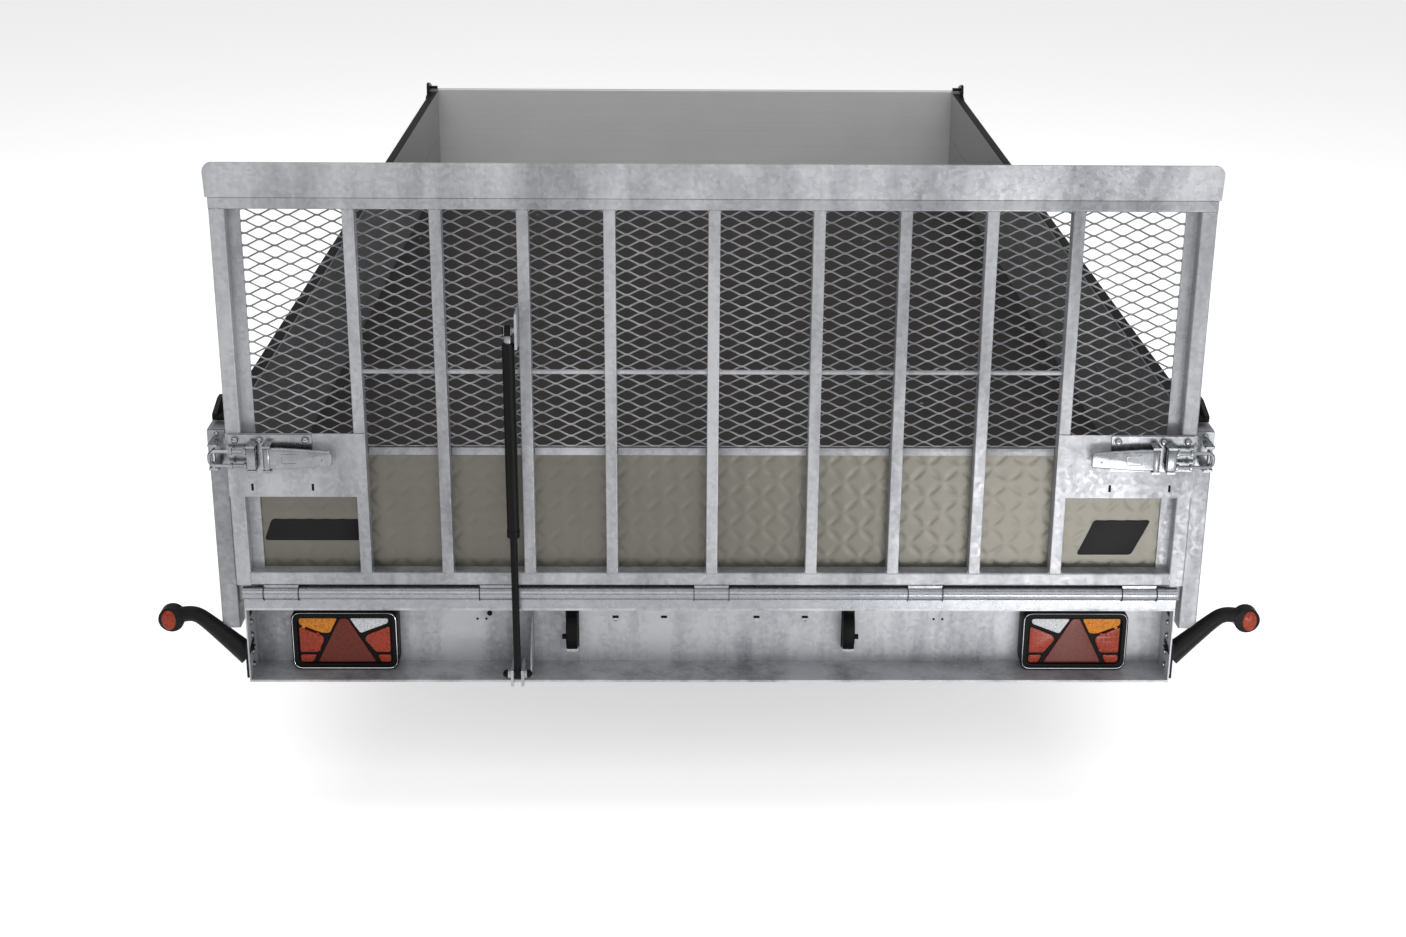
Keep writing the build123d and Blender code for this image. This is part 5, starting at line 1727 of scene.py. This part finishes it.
class TRAILER_OT_drawbar_trim(Operator):
    """Grips, bolts and rings on the coupling, handbrake, crank and jockey wheel"""

    bl_idname = "trailer.drawbar_trim"
    bl_label = "Drawbar trim"

    def execute(self, context):
        axis = joint_place("jockey_crank")
        lever_low, lever_high = node_box("handbrake_lever")
        housing_low, housing_high = node_box("overrun_housing")
        tube_low, tube_high = node_box("jockey_outer_tube")
        wheel_low, wheel_high = node_box("jockey_wheel")
        reach, rise = 0.110, axis.z + 0.019
        crank = [
            add_rod(
                (axis.x, axis.y, axis.z - 0.040), (axis.x, axis.y, rise + 0.010), 0.0080, 20, bevel=0.001
            ),
            add_rod(
                (axis.x, axis.y, axis.z + 0.001),
                (axis.x, axis.y, axis.z + 0.0145),
                0.0150,
                24,
                bevel=0.002,
            ),
            add_block(
                (axis.x - 0.009, axis.y - 0.012, rise - 0.004),
                (axis.x + 0.009, axis.y + reach + 0.008, rise + 0.003),
                0.002,
            ),
        ]
        for side in (-1, 1):
            ear = (axis.x + side * 0.013, axis.y + reach, rise)
            crank.append(
                add_block(
                    (ear[0] - 0.002, ear[1] - 0.009, ear[2] - 0.004),
                    (ear[0] + 0.002, ear[1] + 0.007, ear[2] + 0.022),
                    0.001,
                ),
            )
        finish_piece(
            join(crank), "folding_crank", "jockey_crank", "bright_zinc", replaces=("jockey_crank",)
        )
        grip = [
            (0.000, 0.0), (0.000, 0.009), (0.004, 0.0105), (0.030, 0.0115), (0.060, 0.0105),
            (0.070, 0.0115), (0.076, 0.010), (0.078, 0.0),
        ]
        handle = add_lathe(
            [(-along, radius) for along, radius in grip],
            (axis.x, axis.y + reach, rise + 0.0145),
            (0, 1, 0),
            24,
        )
        finish_piece(handle, "crank_grip", "jockey_crank", "black_plastic")
        lever_x = (lever_low.x + lever_high.x) / 2
        grip_rings = []
        for n in range(16):
            y = lever_high.y - 0.010 - 0.006 * n
            z = lever_high.z - 0.0135 - 0.00036 * n
            grip_rings.append(add_rod((lever_x, y, z), (lever_x, y - 0.0032, z - 0.0002), 0.0134, 20))
        finish_piece(join(grip_rings), "brake_grip", "handbrake_lever", "black_plastic")
        bolts = []
        for side in (-1, 1):
            for y in (0.05, 0.15):
                for z in (-0.028, 0.028):
                    head = (side * 0.0555, housing_low.y + y, (housing_low.z + housing_high.z) / 2 + z)
                    bolts.append(
                        add_rod(head, (head[0] + side * 0.008, head[1], head[2]), 0.0095, 6, bevel=0.001)
                    )
                    bolts.append(add_rod(head, (head[0] + side * 0.002, head[1], head[2]), 0.012, 20))
        nipple = (0, housing_high.y - 0.13, (housing_low.z + housing_high.z) / 2 + 0.038)
        bolts.append(add_rod(nipple, (0, nipple[1], nipple[2] + 0.006), 0.005, 12, 0.003))
        finish_piece(join(bolts), "housing_bolts", "chassis", "bright_zinc")
        cap = add_rod(
            (axis.x, (tube_low.y + tube_high.y) / 2, tube_high.z - 0.016),
            (axis.x, (tube_low.y + tube_high.y) / 2, tube_high.z - 0.002),
            0.0246,
            32,
            bevel=0.002,
        )
        finish_piece(cap, "jockey_collar", "jockey_outer", "black_plastic")
        middle = (wheel_low + wheel_high) / 2
        disc = [(-0.0085, 0.014), (-0.0085, 0.061), (0.0085, 0.061), (0.0085, 0.014)]
        disc_piece = add_lathe(disc, middle, (1, 0, 0), 40)
        finish_piece(disc_piece, "jockey_wheel_disc", "jockey_wheel", "silver_paint")
        return {"FINISHED"}


# --- Stage -----------------------------------------------------------------------------------------


class TRAILER_OT_stage(Operator):
    """Pale floor, soft lights and the camera"""

    bl_idname = "trailer.stage"
    bl_label = "Stage"

    def execute(self, context):
        settings = context.scene.trailer_stage
        clear_selection()
        bpy.ops.mesh.primitive_plane_add(size=120, location=(0, 20, 0))
        floor = context.object
        floor.name = "stage_floor"
        material, _, shader, _ = new_material("pale floor", roughness=0.9)
        shader.inputs["Base Color"].default_value = (0.9, 0.9, 0.9, 1)
        shader.inputs["Emission Color"].default_value = (1, 1, 1, 1)
        shader.inputs["Emission Strength"].default_value = 0.55
        floor.data.materials.append(material)
        world = bpy.data.worlds.new("studio")
        context.scene.world = world
        world.use_nodes = True
        world.node_tree.nodes["Background"].inputs["Color"].default_value = (1, 1, 1, 1)
        world.node_tree.nodes["Background"].inputs["Strength"].default_value = settings.world
        rear = CAD_BOX[0][1]
        lights = (
            ("overhead", (0.0, -0.5, 5.5), (0, 0, 0), (7.0, 8.0), settings.key),
            ("right", (4.5, rear - 3.5, 2.2), (0.6, rear, 0.9), (2.5, 2.0), settings.side_light),
            ("low_right", (1.1, rear - 1.45, 0.16), (0.85, rear, 0.72), (1.0, 0.3), settings.low_light),
            ("rear", (0.0, rear - 4.6, 3.6), (0, rear, 0.6), (9.0, 4.0), settings.rear_light),
        )
        for name, place, target, size, power in lights:
            light = bpy.data.lights.new(name, "AREA")
            light.shape = "RECTANGLE"
            light.size, light.size_y = size
            light.energy = power
            lamp = bpy.data.objects.new(name, light)
            lamp.location = place
            lamp.visible_camera = False
            lamp.rotation_euler = (Vector(target) - Vector(place)).to_track_quat("-Z", "Y").to_euler()
            context.collection.objects.link(lamp)
        camera_data = bpy.data.cameras.new("camera")
        camera_data.lens = settings.lens
        camera_data.sensor_width = 36
        camera = bpy.data.objects.new("camera", camera_data)
        turn = Matrix.Rotation(-settings.turn, 4, "Z") @ Matrix.Rotation(pi / 2 - settings.tilt, 4, "X")
        turn = turn @ Matrix.Rotation(settings.roll, 4, "Z")
        place = (settings.camera_side, rear - settings.camera_back, HINGE.z + settings.camera_height)
        camera.matrix_world = Matrix.Translation(place) @ turn
        context.collection.objects.link(camera)
        context.scene.camera = camera
        context.scene.view_settings.view_transform = "Standard"
        return {"FINISHED"}


class TRAILER_PT_parts(Panel):
    """Lists the trailer's parts, sizes and colours"""

    bl_idname = "TRAILER_PT_parts"
    bl_label = "Flatbed trailer"
    bl_space_type = "VIEW_3D"
    bl_region_type = "UI"
    bl_category = "Trailer"

    def draw(self, context):
        for group in (
            context.scene.trailer_sizes,
            context.scene.trailer_colours,
            context.scene.trailer_stage,
        ):
            for name in group.__annotations__:
                self.layout.prop(group, name)
        for operator in OPERATORS:
            self.layout.operator(operator.bl_idname)


GROUPS = (TrailerSizes, TrailerColours, TrailerStage)
OPERATORS = (
    TRAILER_OT_finishes, TRAILER_OT_expanded_metal, TRAILER_OT_tread_plate, TRAILER_OT_welds,
    TRAILER_OT_hinge_joints, TRAILER_OT_blank_labels, TRAILER_OT_ramp_latches, TRAILER_OT_latch_trim,
    TRAILER_OT_tail_lamps, TRAILER_OT_plate_lamps, TRAILER_OT_marker_lamps, TRAILER_OT_strut_trim,
    TRAILER_OT_channel_trim, TRAILER_OT_bed_trim, TRAILER_OT_side_latch_trim, TRAILER_OT_tyres,
    TRAILER_OT_wheel_trim, TRAILER_OT_drawbar_trim, TRAILER_OT_stage,
)
CLASSES = GROUPS + OPERATORS + (TRAILER_PT_parts,)


def register():
    for cls in CLASSES:
        bpy.utils.register_class(cls)
    bpy.types.Scene.trailer_sizes = PointerProperty(type=TrailerSizes)
    bpy.types.Scene.trailer_colours = PointerProperty(type=TrailerColours)
    bpy.types.Scene.trailer_stage = PointerProperty(type=TrailerStage)


def unregister():
    del bpy.types.Scene.trailer_sizes
    del bpy.types.Scene.trailer_colours
    del bpy.types.Scene.trailer_stage
    for cls in reversed(CLASSES):
        bpy.utils.unregister_class(cls)


def main():
    """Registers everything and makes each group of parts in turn."""
    register()
    for operator in OPERATORS:
        group, name = operator.bl_idname.split(".")
        getattr(getattr(bpy.ops, group), name)()


if __name__ == "__main__":
    main()
